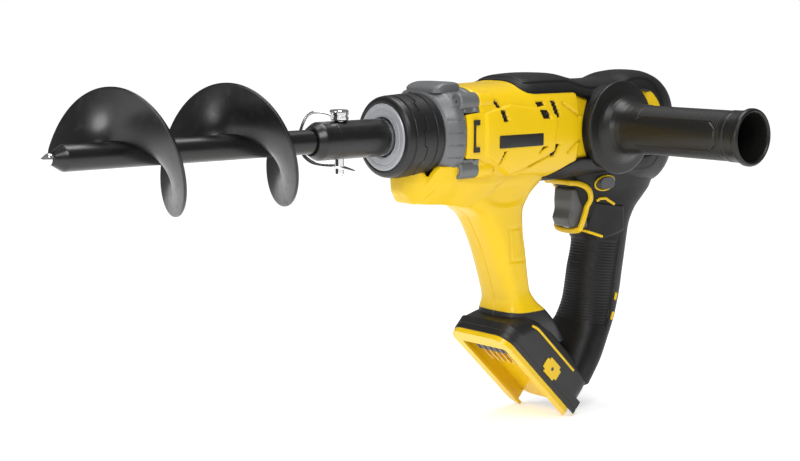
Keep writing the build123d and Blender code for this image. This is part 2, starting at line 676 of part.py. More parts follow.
def build_side_handle():
    """Auxiliary handle turned about its own axis, and its stud."""
    profile = [
        (FLANGE_RADIUS - 1.0, BOSS_FACE_Y), (FLANGE_RADIUS, BOSS_FACE_Y + 1.0), (FLANGE_RADIUS, BOSS_FACE_Y + 3.2),
        (32.6, BOSS_FACE_Y + 5.0), (27.0, BOSS_FACE_Y + 7.5), (22.5, BOSS_FACE_Y + 11.5),
        (19.6, BOSS_FACE_Y + 16.5), (18.2, BOSS_FACE_Y + 22.0), (HANDLE_TUBE_RADIUS, BOSS_FACE_Y + 28.0),
        (HANDLE_TUBE_RADIUS, 144.0), (18.6, 145.5), (18.6, 148.0), (17.9, 148.6), (17.9, 150.0), (19.0, 151.0),
        (HANDLE_RIM_RADIUS, 153.0), (HANDLE_RIM_RADIUS, 157.5), (18.6, HANDLE_END_Y), (HANDLE_HOLE_RADIUS, HANDLE_END_Y),
        (15.0, 157.5), (14.2, 150.0), (14.0, 78.0), (INSERT_BORE + 0.5, 78.0), (INSERT_BORE + 0.5, 72.0),
        (12.0, 72.0), (12.0, BOSS_FACE_Y + 6.0), (INSERT_BORE, BOSS_FACE_Y + 6.0), (INSERT_BORE, BOSS_FACE_Y),
    ]
    face = make_face(Polyline(*[(HANDLE_AXIS_X + radius, -y) for radius, y in profile], close=True))
    axis = Axis((HANDLE_AXIS_X, 0, 0), (0, 1, 0))
    save(revolve(Plane.XY * face, axis), "side_handle")
    stud = rod(HANDLE_AXIS_X, -27, 0, (0, -1, 0), INSERT_BORE - 0.05, 54.0)
    stud += rod(HANDLE_AXIS_X, -78.0, 0, (0, -1, 0), 8.0, 5.0)
    save(stud, "handle_stud")


def build_foot():
    """Foot shell, battery base with its cavity, terminals, plug and strip."""
    plan = Pos((FOOT_FRONT + FOOT_REAR) / 2, 0)
    wide = plan * RectangleRounded(FOOT_REAR - FOOT_FRONT, 2 * FOOT_HALF_WIDTH, 13.0)
    narrow = plan * RectangleRounded(FOOT_REAR - FOOT_FRONT - 12, 2 * FOOT_HALF_WIDTH - 12, 10.0)
    shell = extrude(foot_frame().offset(BASE_HEIGHT) * wide, SHELL_EDGE - BASE_HEIGHT)
    shell += loft([foot_frame().offset(SHELL_EDGE) * wide, foot_frame().offset(FOOT_HEIGHT) * narrow], ruled=True)
    shell += (grip_solid(0) & below_foot(FOOT_HEIGHT)) - below_foot(BASE_HEIGHT)
    shell = shell - column_solid(0) - grip_solid(SKIN)
    shell = shell - foot_strip_shape()
    for side in (-1, 1):
        shell -= foot_plug_shape(side, 0.05)
    save(shell, "foot_shell")
    save(foot_strip_shape(), "foot_strips")
    save(Compound(children=[foot_plug_shape(-1, 0), foot_plug_shape(1, 0)]), "foot_plugs")
    base = foot_block(FOOT_FRONT, FOOT_REAR, FOOT_HALF_WIDTH - 0.6, 0, BASE_HEIGHT - 0.05, 12.0)
    base -= foot_block(-5, 120, 25.0, 2.4, BASE_HEIGHT - 2.5, 2.0)
    base -= foot_block(-5, 120, 22.0, -1, 5.0, 2.0)
    for side in (-1, 1):
        base -= foot_plug_shape(side, 0.05)
    save(base, "battery_base")
    block = foot_block(-3.5, 7, 15.0, 3.0, BASE_HEIGHT - 2.6, 0.5)
    for step in range(5):
        block -= foot_block(-1, 8, 0.8, 2.0, 9.0, 0.2).moved(foot_shift(6 * (step - 2)))
    save(block, "terminal_block")
    blades = []
    for step in range(5):
        blades.append(foot_block(0, 22, 0.4, 4.0, 8.0, 0.1).moved(foot_shift(6 * (step - 2))))
    save(Compound(children=blades), "terminal_blades")


def foot_strip_shape():
    """Thin bright strips let into both sides of the foot shell."""
    low, high = STRIP_LEVEL - 0.7, STRIP_LEVEL + 0.7
    outer = foot_block(FOOT_FRONT, FOOT_REAR, FOOT_HALF_WIDTH, low, high, 13.0)
    inner = foot_block(FOOT_FRONT + 0.8, FOOT_REAR - 0.8, FOOT_HALF_WIDTH - 0.8, low - 1, high + 1, 12.2)
    return (outer - inner) & foot_block(-4, 56, 60, low, high, 1.0)


def foot_plug_shape(side, grow):
    """Bright keyed plug on one side of the foot."""
    body = foot_block(28 - grow, 46 + grow, 1.0 + grow, 9 - grow, 19.5 + grow, 0.9)
    key = foot_block(33 - grow, 41 + grow, 1.0 + grow, 9 - grow, 24 + grow, 0.9)
    return (body + key).moved(foot_shift(side * (FOOT_HALF_WIDTH - 0.9)))


def foot_shift(across):
    """Sideways move in the foot, which is the same as along Y."""
    return Location((0, across, 0))


build_shells()
build_side_labels()
build_clip_insets()
build_housing_screws()
build_gear_case()
build_case_screws()
build_nose()
build_spindle()
build_auger()
build_lock_pin()
build_gears()
build_motor()
build_controls()
build_electronics()
build_inserts()
build_side_handle()
build_foot()
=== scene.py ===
"""Builds the finished surfaces, materials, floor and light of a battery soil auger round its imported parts."""

import bpy
import numpy as np
from mathutils import Matrix, Vector


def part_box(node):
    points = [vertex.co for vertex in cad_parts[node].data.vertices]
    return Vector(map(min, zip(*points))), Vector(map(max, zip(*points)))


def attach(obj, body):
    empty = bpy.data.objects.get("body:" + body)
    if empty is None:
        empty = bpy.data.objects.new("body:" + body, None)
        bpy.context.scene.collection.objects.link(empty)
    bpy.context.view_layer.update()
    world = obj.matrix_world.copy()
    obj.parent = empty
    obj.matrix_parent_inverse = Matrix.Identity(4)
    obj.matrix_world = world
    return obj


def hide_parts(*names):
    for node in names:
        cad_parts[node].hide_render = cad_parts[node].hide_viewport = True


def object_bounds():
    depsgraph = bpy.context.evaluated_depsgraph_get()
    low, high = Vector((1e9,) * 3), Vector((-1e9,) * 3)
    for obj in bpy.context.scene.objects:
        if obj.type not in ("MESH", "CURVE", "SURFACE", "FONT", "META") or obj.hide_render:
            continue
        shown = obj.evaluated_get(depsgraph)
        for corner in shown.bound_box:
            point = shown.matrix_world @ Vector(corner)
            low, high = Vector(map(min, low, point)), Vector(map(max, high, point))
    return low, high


bl_info = {
    "name": "Soil auger surfaces",
    "version": (1, 0, 0),
    "blender": (4, 5, 0),
    "location": "View3D > Sidebar > Auger",
    "description": "Makes the moulded shells, auger bit, grips and studio of a battery soil auger",
    "category": "Object",
}

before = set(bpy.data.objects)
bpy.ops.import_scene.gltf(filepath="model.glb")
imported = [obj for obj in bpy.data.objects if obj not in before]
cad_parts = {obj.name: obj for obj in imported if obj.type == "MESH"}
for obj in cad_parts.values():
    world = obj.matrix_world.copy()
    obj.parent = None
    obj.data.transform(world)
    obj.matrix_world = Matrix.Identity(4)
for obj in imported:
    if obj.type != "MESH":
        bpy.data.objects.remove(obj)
CAD_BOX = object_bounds()
MM = 0.001
NO_TRIANGLES = np.zeros((0, 3), int)
HANDLE_X = 192.7
COVER_END = 280.6
COVER_PROUD = 0.9
FOOT_LOW = 14.5
CAMERA_PLACE = (-0.6979, -0.8226, 0.0857)
CAMERA_TURN = (-40.975, 7.849, 0.158)
CAMERA_LENS = 72.54


# ---------------------------------------------------------------- curves and profiles

def curve(t, knots, values):
    """Smooth curve through knots: cubic Hermite pieces whose slope at a knot is the harmonic mean of its
    neighbours' slopes, and zero where they change sign, so it never overshoots."""
    knots = np.asarray(knots, float)
    values = np.asarray(values, float)
    step = np.diff(knots)
    slope = np.diff(values) / step
    tangent = np.zeros_like(values)
    product = slope[:-1] * slope[1:]
    total = np.where(product > 0, slope[:-1] + slope[1:], 1.0)
    tangent[1:-1] = np.where(product > 0, 2 * product / total, 0.0)
    tangent[0], tangent[-1] = slope[0], slope[-1]
    t = np.clip(t, knots[0], knots[-1])
    cell = np.clip(np.searchsorted(knots, t, side="right") - 1, 0, len(knots) - 2)
    h = step[cell]
    s = (t - knots[cell]) / h
    return ((1 + 2 * s) * (1 - s) ** 2 * values[cell] + s * (1 - s) ** 2 * h * tangent[cell]
            + s ** 2 * (3 - 2 * s) * values[cell + 1] + s ** 2 * (s - 1) * h * tangent[cell + 1])


def chord(stations, *columns):
    """Distance along a table of stations, measured in the given columns, from 0 to 1."""
    table = np.asarray(stations, float)[:, columns]
    run = np.concatenate([[0.0], np.cumsum(np.linalg.norm(np.diff(table, axis=0), axis=1))])
    return run / run[-1]


def smooth(value, width):
    """1 where value is well below zero, 0 well above it, with an S-shaped change over width."""
    s = np.clip(0.5 - value / width, 0, 1)
    return s * s * (3 - 2 * s)


def polygon(x, z, corners):
    """Signed distance to a convex polygon given anticlockwise: the largest of its edge distances."""
    corners = np.asarray(corners, float)
    best = np.full(np.broadcast(x, z).shape, -1e9)
    for here, there in zip(corners, np.roll(corners, -1, axis=0)):
        edge = (there - here) / np.linalg.norm(there - here)
        best = np.maximum(best, (x - here[0]) * edge[1] - (z - here[1]) * edge[0])
    return best


def segment(x, z, start, end):
    """Distance from points to a straight line between two points."""
    start, end = np.asarray(start, float), np.asarray(end, float)
    along = end - start
    s = np.clip(((x - start[0]) * along[0] + (z - start[1]) * along[1]) / (along @ along), 0, 1)
    return np.hypot(x - start[0] - s * along[0], z - start[1] - s * along[1])


def power(angle, exponent):
    """Cosine and sine of a superellipse: each keeps its sign and is raised to 2 over the exponent."""
    c, s = np.cos(angle), np.sin(angle)
    return np.sign(c) * np.abs(c) ** (2 / exponent), np.sign(s) * np.abs(s) ** (2 / exponent)


def rounded(corners, radius, count):
    """Closed outline with rounded corners, spread evenly: each corner is an arc tangent to its two sides."""
    corners = np.asarray(corners, float)
    radius = np.broadcast_to(radius, len(corners))
    pieces = []
    for i, corner in enumerate(corners):
        back = corners[i - 1] - corner
        ahead = corners[(i + 1) % len(corners)] - corner
        back, ahead = back / np.linalg.norm(back), ahead / np.linalg.norm(ahead)
        half = np.arccos(np.clip(back @ ahead, -1, 1)) / 2
        reach = radius[i] / np.tan(half)
        middle = corner + (back + ahead) / np.linalg.norm(back + ahead) * radius[i] / np.sin(half)
        first, last = corner + back * reach - middle, corner + ahead * reach - middle
        a0, a1 = np.arctan2(first[1], first[0]), np.arctan2(last[1], last[0])
        turn = (a1 - a0 + np.pi) % (2 * np.pi) - np.pi
        angle = a0 + turn * np.linspace(0, 1, 14)
        pieces.append(middle + radius[i] * np.stack([np.cos(angle), np.sin(angle)], 1))
    ring = np.concatenate(pieces)
    ring = np.concatenate([ring, ring[:1]])
    run = np.concatenate([[0.0], np.cumsum(np.linalg.norm(np.diff(ring, axis=0), axis=1))])
    at = np.linspace(0, run[-1], count, endpoint=False)
    return np.stack([np.interp(at, run, ring[:, 0]), np.interp(at, run, ring[:, 1])], 1)


def normals(points, wrap):
    """Unit normals of a grid of points: the cross product of its two directions of travel."""
    along = np.gradient(points, axis=0)
    if wrap:
        across = np.roll(points, -1, axis=1) - np.roll(points, 1, axis=1)
    else:
        across = np.gradient(points, axis=1)
    cross = np.cross(across, along)
    return cross / np.maximum(np.linalg.norm(cross, axis=2, keepdims=True), 1e-9)


# ---------------------------------------------------------------- meshes

def cells(rows, columns, wrap, start=0):
    """Corner numbers of the quads of a grid, as an array of four columns."""
    i, j = np.meshgrid(np.arange(rows - 1), np.arange(columns if wrap else columns - 1), indexing="ij")
    k = (j + 1) % columns
    quads = np.stack([i * columns + j, (i + 1) * columns + j, (i + 1) * columns + k, i * columns + k], -1)
    return quads.reshape(-1, 4) + start


def put(name, points, quads, tris, finish, body, stands_for, marks, sharp):
    """Makes one mesh object from points in mm. A closed shape whose volume comes out negative is turned round.
    marks holds values from 0 to 1 at the points, which its material reads. The piece rides on its body and may stand
    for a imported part."""
    split = np.concatenate([quads[:, [0, 1, 2]], quads[:, [0, 2, 3]], tris]) if len(quads) else tris
    a, b, c = points[split[:, 0]], points[split[:, 1]], points[split[:, 2]]
    if np.einsum("ij,ij->i", a, np.cross(b, c)).sum() < 0:
        quads, tris = quads[:, ::-1], tris[:, ::-1]
    mesh = bpy.data.meshes.new(name)
    mesh.vertices.add(len(points))
    mesh.vertices.foreach_set("co", (points * MM).ravel())
    loops = np.concatenate([quads.ravel(), tris.ravel()]).astype(np.int32)
    sizes = np.concatenate([np.full(len(quads), 4), np.full(len(tris), 3)]).astype(np.int32)
    mesh.loops.add(len(loops))
    mesh.loops.foreach_set("vertex_index", loops)
    mesh.polygons.add(len(sizes))
    mesh.polygons.foreach_set("loop_start", np.concatenate([[0], np.cumsum(sizes)[:-1]]).astype(np.int32))
    mesh.polygons.foreach_set("loop_total", sizes)
    mesh.update(calc_edges=True)
    mesh.validate()
    mesh.polygons.foreach_set("use_smooth", np.ones(len(mesh.polygons), bool))
    mesh.set_sharp_from_angle(angle=np.radians(sharp))
    if marks is not None:
        layer = mesh.attributes.new("mark", "FLOAT", "POINT")
        layer.data.foreach_set("value", np.asarray(marks, np.float32))
    mesh.materials.append(MATERIALS[finish])
    piece = bpy.data.objects.new(name, mesh)
    bpy.context.scene.collection.objects.link(piece)
    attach(piece, body)
    if stands_for:
        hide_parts(stands_for)


def tube(name, rings, finish, body="housing", stands_for=None, marks=None, sharp=40.0):
    """Closed body from a stack of rings, rows by points by xyz, with each end closed by a fan."""
    rows, columns = rings.shape[:2]
    points = np.concatenate([rings.reshape(-1, 3), rings[:1].mean(1), rings[-1:].mean(1)])
    quads = cells(rows, columns, True)
    j = np.arange(columns)
    k = (j + 1) % columns
    first, last = rows * columns, rows * columns + 1
    tail = (rows - 1) * columns
    tris = np.concatenate([np.stack([np.full(columns, first), j, k], 1),
                           np.stack([np.full(columns, last), tail + k, tail + j], 1)])
    if marks is not None:
        marks = np.concatenate([marks.ravel(), [0, 0]])
    put(name, points, quads, tris, finish, body, stands_for, marks, sharp)


def sheet(name, outer, inner, finish, body="housing", stands_for=None, marks=None, sharp=40.0):
    """Closed skin: an outer and an inner grid of the same size, joined round their rims."""
    rows, columns = outer.shape[:2]
    count = rows * columns
    points = np.concatenate([outer.reshape(-1, 3), inner.reshape(-1, 3)])
    top = cells(rows, columns, False)
    bottom = top[:, ::-1] + count
    rim = np.concatenate([np.arange(columns), np.arange(1, rows) * columns + columns - 1,
                          (rows - 1) * columns + np.arange(columns - 2, -1, -1),
                          np.arange(rows - 2, 0, -1) * columns])
    ahead = np.roll(rim, -1)
    side = np.stack([rim, ahead, ahead + count, rim + count], 1)
    if marks is not None:
        marks = np.concatenate([marks.ravel(), marks.ravel()])
    put(name, points, np.concatenate([top, bottom, side]), NO_TRIANGLES, finish, body, stands_for, marks, sharp)


def ring_tube(name, rings, finish, body="housing", stands_for=None, marks=None, sharp=40.0):
    """Closed hoop: a stack of rings whose last joins its first."""
    rows, columns = rings.shape[:2]
    quads = cells(rows, columns, True)
    j = np.arange(columns)
    k = (j + 1) % columns
    tail = (rows - 1) * columns
    quads = np.concatenate([quads, np.stack([tail + j, j, k, tail + k], 1)])
    if marks is not None:
        marks = marks.ravel()
    put(name, rings.reshape(-1, 3), quads, NO_TRIANGLES, finish, body, stands_for, marks, sharp)


def turned(profile, count, axis, centre):
    """Rings of a turned piece, at every angle (distance, radius * cos, radius * sin). profile holds distance along
    the axis and radius."""
    profile = np.asarray(profile, float)
    angle = np.linspace(0, 2 * np.pi, count, endpoint=False)
    along, radius = np.broadcast_arrays(profile[:, :1], profile[:, 1:2])
    along = np.repeat(along, count, 1)
    radius = np.repeat(radius, count, 1)
    side, up = radius * np.cos(angle), radius * np.sin(angle)
    order = {"X": (along, side, up), "Y": (up, along, side), "Z": (side, up, along)}[axis]
    return np.stack(order, -1) + np.asarray(centre, float)


def dense(profile, spacing):
    """Profile with extra points, so that no gap along it is longer than the spacing."""
    profile = np.asarray(profile, float)
    run = np.concatenate([[0.0], np.cumsum(np.linalg.norm(np.diff(profile, axis=0), axis=1))])
    at = np.unique(np.concatenate([run, np.arange(0, run[-1], spacing)]))
    return np.stack([np.interp(at, run, profile[:, i]) for i in range(profile.shape[1])], 1)


def slab(name, outline, low, high, radius, finish, body="housing", stands_for=None, place=None):
    """Plate with rounded edges: a closed outline in X and Z carried across Y. Near each face the outline moves
    inwards along its normal as a quarter circle does."""
    outline = np.asarray(outline, float)
    travel = np.roll(outline, -1, axis=0) - np.roll(outline, 1, axis=0)
    area = np.sum(outline[:, 0] * np.roll(outline[:, 1], -1) - np.roll(outline[:, 0], -1) * outline[:, 1])
    outward = np.stack([travel[:, 1], -travel[:, 0]], 1) * np.sign(area)
    outward /= np.linalg.norm(outward, axis=1, keepdims=True)
    bend = np.linspace(0, np.pi / 2, 7)
    inset = np.concatenate([radius * (1 - np.sin(bend)), radius * (1 - np.sin(bend[::-1]))])
    across = np.concatenate([low + radius * (1 - np.cos(bend)), high - radius * (1 - np.cos(bend[::-1]))])
    flat = outline[None] - outward[None] * inset[:, None, None]
    rings = np.stack([flat[..., 0], np.repeat(across[:, None], len(outline), 1), flat[..., 1]], -1)
    if place is not None:
        rings = place(rings)
    tube(name, rings, finish, body, stands_for)


def swept(path, across, radius_a, radius_b, count, closed=False, exponent=2.0):
    """Rings of an oval carried along a path: across is the direction of its first radius at each point."""
    path = np.asarray(path, float)
    if closed:
        travel = np.roll(path, -1, axis=0) - np.roll(path, 1, axis=0)
    else:
        travel = np.gradient(path, axis=0)
    travel /= np.linalg.norm(travel, axis=1, keepdims=True)
    across = np.broadcast_to(np.asarray(across, float), path.shape)
    across = across - travel * np.sum(across * travel, axis=1, keepdims=True)
    across /= np.maximum(np.linalg.norm(across, axis=1, keepdims=True), 1e-9)
    third = np.cross(travel, across)
    angle = np.linspace(0, 2 * np.pi, count, endpoint=False)
    c, s = power(angle, exponent)
    radius_a = np.broadcast_to(np.asarray(radius_a, float), len(path))[:, None, None]
    radius_b = np.broadcast_to(np.asarray(radius_b, float), len(path))[:, None, None]
    return (path[:, None] + across[:, None] * c[None, :, None] * radius_a
            + third[:, None] * s[None, :, None] * radius_b)


def spline_path(points, count, closed=False):
    """Evenly numbered smooth path through points, each coordinate a smooth curve of the distance travelled."""
    points = np.asarray(points, float)
    if closed:
        points = np.concatenate([points[-2:], points, points[:2]])
    run = np.concatenate([[0.0], np.cumsum(np.linalg.norm(np.diff(points, axis=0), axis=1))])
    if closed:
        at = np.linspace(run[2], run[-2], count, endpoint=False)
    else:
        at = np.linspace(0, run[-1], count)
    return np.stack([curve(at, run, points[:, i]) for i in range(points.shape[1])], 1)


# ---------------------------------------------------------------- materials

class Signal:
    """One output of a node. Arithmetic on it adds Math nodes."""

    def __init__(self, tree, socket):
        self.tree, self.socket = tree, socket

    def _math(self, operation, left, right=0.0):
        return self.tree.node("ShaderNodeMath", {"operation": operation}, {0: left, 1: right})

    def __add__(self, other):
        return self._math("ADD", self, other)

    def __sub__(self, other):
        return self._math("SUBTRACT", self, other)

    def __rsub__(self, other):
        return self._math("SUBTRACT", other, self)

    def __mul__(self, other):
        return self._math("MULTIPLY", self, other)

    __radd__ = __add__
    __rmul__ = __mul__

    def above(self, edge, width):
        """0 below an edge and 1 above it, with a soft change."""
        return self.tree.node("ShaderNodeMapRange", {"interpolation_type": "SMOOTHSTEP"},
                              {"Value": self, "From Min": edge - width / 2, "From Max": edge + width / 2})


class Finish:
    """A material's node tree: the shader, object coordinates and the few patterns that the finishes share."""

    def __init__(self, name, colour, roughness, metallic=0.0, **fixed):
        self.material = bpy.data.materials.new(name)
        self.material.use_nodes = True
        self.nodes, self.links = self.material.node_tree.nodes, self.material.node_tree.links
        self.shader = self.nodes["Principled BSDF"]
        self.colour = tuple(colour)[:3] + (1.0,)
        self.put("Base Color", self.colour)
        self.put("Roughness", roughness)
        self.put("Metallic", metallic)
        for socket, value in fixed.items():
            self.put(socket.replace("_", " "), value)

    def put(self, socket, value):
        self._feed(self.shader.inputs[socket], value)

    def _feed(self, socket, value):
        if isinstance(value, Signal):
            self.links.new(value.socket, socket)
        else:
            socket.default_value = value

    def node(self, kind, settings=None, values=None, output=0):
        """Adds a node: settings first, then socket values or links."""
        made = self.nodes.new(kind)
        for key, value in (settings or {}).items():
            setattr(made, key, value)
        for key, value in (values or {}).items():
            self._feed(made.inputs[key], value)
        return Signal(self, made.outputs[output])

    def place(self, scale=(1.0, 1.0, 1.0), turn=(0.0, 0.0, 0.0)):
        """Object coordinates, stretched and turned."""
        coordinate = self.node("ShaderNodeTexCoord", output="Object")
        return self.node("ShaderNodeMapping", {}, {"Vector": coordinate, "Scale": scale, "Rotation": turn})

    def noise(self, scale, detail=2.0, stretch=(1.0, 1.0, 1.0)):
        return self.node("ShaderNodeTexNoise", {}, {"Vector": self.place(stretch), "Scale": scale, "Detail": detail})

    def cells(self, scale):
        return self.node("ShaderNodeTexVoronoi", {}, {"Vector": self.place(), "Scale": scale})

    def mark(self):
        """The piece's own mark attribute."""
        return self.node("ShaderNodeAttribute", {"attribute_name": "mark"}, output="Fac")

    def mix(self, factor, first, second):
        """Blend of two colours."""
        return self.node("ShaderNodeMix", {"data_type": "RGBA"}, {0: factor, 6: first, 7: second}, output=2)

    def tint(self, amount):
        """The base colour made lighter or darker by a factor."""
        return tuple(min(1.0, c * amount) for c in self.colour[:3]) + (1.0,)

    def bump(self, height, strength, distance):
        self.put("Normal", self.node("ShaderNodeBump", {}, {
            "Height": height, "Strength": strength, "Distance": distance}))


def gloss_shell(name, colour, dark):
    """Bright moulded shell: fine orange-peel skin, slight flow clouding, and painted shade: the marked vent slots are
    painted near black.
    """
    f = Finish(name, colour, 0.3, Coat_Weight=0.12, Coat_Roughness=0.12, Specular_IOR_Level=0.3)
    cloud = f.noise(22.0, 3.0).above(0.5, 0.5)
    skin = f.noise(900.0, 2.0)
    body = f.mix(cloud, f.tint(0.94), f.colour)
    f.put("Base Color", f.mix(f.mark().above(0.5, 0.3), body, tuple(dark) + (1.0,)))
    f.put("Roughness", 0.26 + 0.12 * f.noise(60.0, 4.0))
    f.bump(skin, 0.12, 0.0002)
    return f.material


def soft_skin(name, colour, light):
    """Rubbery overmould: fine spark-eroded grain, faint scuffs, and a painted highlight: lighter where it is marked."""
    f = Finish(name, colour, 0.5, Specular_IOR_Level=0.28)
    grain = f.cells(1500.0) + 0.6 * f.noise(2600.0, 2.0)
    cloud = f.noise(35.0, 4.0).above(0.52, 0.4)
    body = f.mix(cloud, f.tint(0.85), f.tint(1.15))
    f.put("Base Color", f.mix(f.mark(), body, tuple(light) + (1.0,)))
    f.put("Roughness", 0.4 + 0.16 * f.noise(80.0, 4.0))
    f.bump(grain, 0.22, 0.0002)
    return f.material


def moulded(name, colour, roughness=0.42, grain=700.0):
    """Plain moulded plastic with a light grain and mild clouding."""
    f = Finish(name, colour, roughness, Specular_IOR_Level=0.5)
    cloud = f.noise(40.0, 3.0)
    f.put("Base Color", f.mix(cloud.above(0.5, 0.5), f.tint(0.88), f.tint(1.1)))
    f.put("Roughness", (roughness - 0.05) + 0.1 * f.noise(120.0, 4.0))
    f.bump(f.noise(grain, 2.0), 0.18, 0.0002)
    return f.material


def ribbed(name, colour):
    """Hard black moulding, with fine ribs round it where it is marked."""
    f = Finish(name, colour, 0.36, Specular_IOR_Level=0.4)
    ribs = f.node("ShaderNodeTexWave", {"bands_direction": "Y"}, {"Vector": f.place(), "Scale": 160.0})
    f.put("Base Color", f.mix(f.noise(40.0, 3.0), f.tint(0.85), f.tint(1.15)))
    f.put("Roughness", 0.3 + 0.12 * f.noise(120.0, 4.0) + 0.14 * f.mark())
    f.bump(ribs * f.mark() + 0.12 * f.noise(900.0, 2.0), 0.6, 0.0006)
    return f.material


def gloss_coat(name, colour):
    """Thick black gloss coat: slightly wavy skin with faint scuffs."""
    f = Finish(name, colour, 0.36, Coat_Weight=0.25, Coat_Roughness=0.24, Specular_IOR_Level=0.4)
    scuff = f.noise(70.0, 6.0, (1.0, 3.0, 3.0)).above(0.6, 0.2)
    f.put("Base Color", f.mix(scuff, f.colour, f.tint(1.4)))
    f.put("Roughness", 0.32 + 0.1 * scuff)
    f.bump(f.noise(160.0, 2.0), 0.05, 0.0004)
    return f.material


def metal(name, colour, roughness, stretch=(1.0, 1.0, 1.0), scale=900.0):
    """Machined or polished metal with fine tool marks along one direction."""
    f = Finish(name, colour, roughness, 1.0)
    lines = f.noise(scale, 3.0, stretch)
    f.put("Base Color", f.mix(f.noise(50.0, 3.0), f.tint(0.88), f.colour))
    f.put("Roughness", (roughness * 0.7) + (roughness * 0.6) * lines)
    f.bump(lines, 0.06, 0.0001)
    return f.material


def cast_paint(name, colour):
    """Cast case under satin paint: soft orange peel and small specks."""
    f = Finish(name, colour, 0.42, 0.25, Specular_IOR_Level=0.5)
    specks = f.cells(520.0)
    f.put("Base Color", f.mix(f.noise(45.0, 4.0), f.tint(0.86), f.tint(1.08)))
    f.put("Roughness", 0.36 + 0.14 * f.noise(200.0, 4.0))
    f.bump(specks + f.noise(420.0, 3.0), 0.16, 0.0003)
    return f.material


def wound_wire(name, colour):
    """Enamelled windings: fine parallel ridges, with painted shade darkening the grooves between them."""
    f = Finish(name, colour, 0.35, 0.8)
    wave = f.node("ShaderNodeTexWave", {"bands_direction": "Y"},
                  {"Vector": f.place(), "Scale": 260.0, "Distortion": 0.6})
    # Painted shade: the grooves between the ridges are painted darker.
    f.put("Base Color", f.mix(wave, f.tint(0.55), f.colour))
    f.bump(wave, 0.5, 0.0003)
    return f.material


def printed_board(name, colour):
    """Lacquered circuit board with faint tracks."""
    f = Finish(name, colour, 0.3)
    tracks = f.node("ShaderNodeTexBrick", {}, {"Vector": f.place((1.0, 1.0, 1.0)), "Scale": 160.0, "Mortar Size": 0.04})
    f.put("Base Color", f.mix(f.noise(400.0, 2.0).above(0.55, 0.1), f.colour, f.tint(1.6)))
    f.bump(tracks, 0.2, 0.0001)
    return f.material


MATERIALS = {}
PACKED_FINISHES = {
    "yellow": ["battery_base", "foot_strips", "foot_plugs", "trigger_bezel", "housing_left", "housing_right"],
    "label": ["label_plates", "clip_insets"],
    "steel": ["housing_screws", "case_screws", "handle_stud", "handle_insert_left", "handle_insert_right",
              "output_carrier", "stage_carrier", "front_bearing_inner", "front_bearing_outer", "motor_bearing_front",
              "motor_bearing_rear", "rotor_shaft", "gear_plate", "ring_gear", "trigger_spring", "spindle_ring",
              "planet_one_a", "planet_one_b", "planet_one_c", "planet_two_a", "planet_two_b", "planet_two_c"],
    "bright": ["front_bearing_balls", "lock_pin", "pin_bail", "auger_tip"],
    "iron": ["rotor_core", "stator"],
    "copper": ["stator_coils"],
    "brass": ["terminal_blades"],
    "inner": ["terminal_block", "trigger_switch", "nose_seal", "cooling_fan"],
    "board": ["control_board"],
    "case": ["gear_case"],
    "washer": ["nose_washer"],
    "collar": ["collar_front", "collar_rear"],
    "auger": ["drive_socket", "auger_shaft", "auger_flight"],
    "handle": ["side_handle"],
    "control": ["trigger", "direction_selector"],
    "cover": ["top_cover", "grip_sleeve"],
    "foot": ["foot_shell"],
}


def finishes(colours):
    """Makes every material once."""
    # Near-black painted shade for the vent slots of the yellow shell.
    dark = (0.012, 0.011, 0.01)
    MATERIALS["yellow"] = gloss_shell("yellow_shell", colours.shell, dark)
    MATERIALS["cover"] = soft_skin("soft_cover", colours.cover, (0.06, 0.06, 0.062))
    # The grip's light colour is a painted highlight on its raised panel and rib crests.
    MATERIALS["grip"] = soft_skin("grip_skin", colours.cover, (0.03, 0.03, 0.032))
    MATERIALS["foot"] = moulded("foot_moulding", colours.foot, 0.46)
    MATERIALS["collar"] = moulded("collar_moulding", colours.collar, 0.38, 500.0)
    MATERIALS["handle"] = ribbed("handle_moulding", colours.handle)
    MATERIALS["control"] = moulded("control_moulding", colours.control, 0.4)
    MATERIALS["inner"] = moulded("inner_moulding", (0.05, 0.05, 0.055))
    MATERIALS["label"] = moulded("label_print", (0.012, 0.012, 0.012), 0.35, 300.0)
    MATERIALS["case"] = cast_paint("gear_case_paint", colours.case)
    MATERIALS["washer"] = cast_paint("washer_paint", colours.washer)
    MATERIALS["auger"] = gloss_coat("auger_coat", colours.auger)
    MATERIALS["bright"] = metal("bright_steel", (0.82, 0.82, 0.83), 0.12)
    MATERIALS["steel"] = metal("plain_steel", (0.6, 0.6, 0.61), 0.32, (1.0, 8.0, 8.0))
    MATERIALS["iron"] = metal("core_iron", (0.28, 0.28, 0.29), 0.5, (14.0, 1.0, 1.0))
    MATERIALS["brass"] = metal("contact_metal", (0.8, 0.66, 0.34), 0.25)
    MATERIALS["copper"] = wound_wire("coil_wire", (0.75, 0.36, 0.16))
    MATERIALS["board"] = printed_board("control_board", (0.03, 0.2, 0.09))


def repaint():
    """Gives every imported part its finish."""
    for finish, nodes in PACKED_FINISHES.items():
        for node in nodes:
            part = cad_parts[node]
            part.data.materials.clear()
            part.data.materials.append(MATERIALS[finish])


# ---------------------------------------------------------------- shapes shared by several pieces

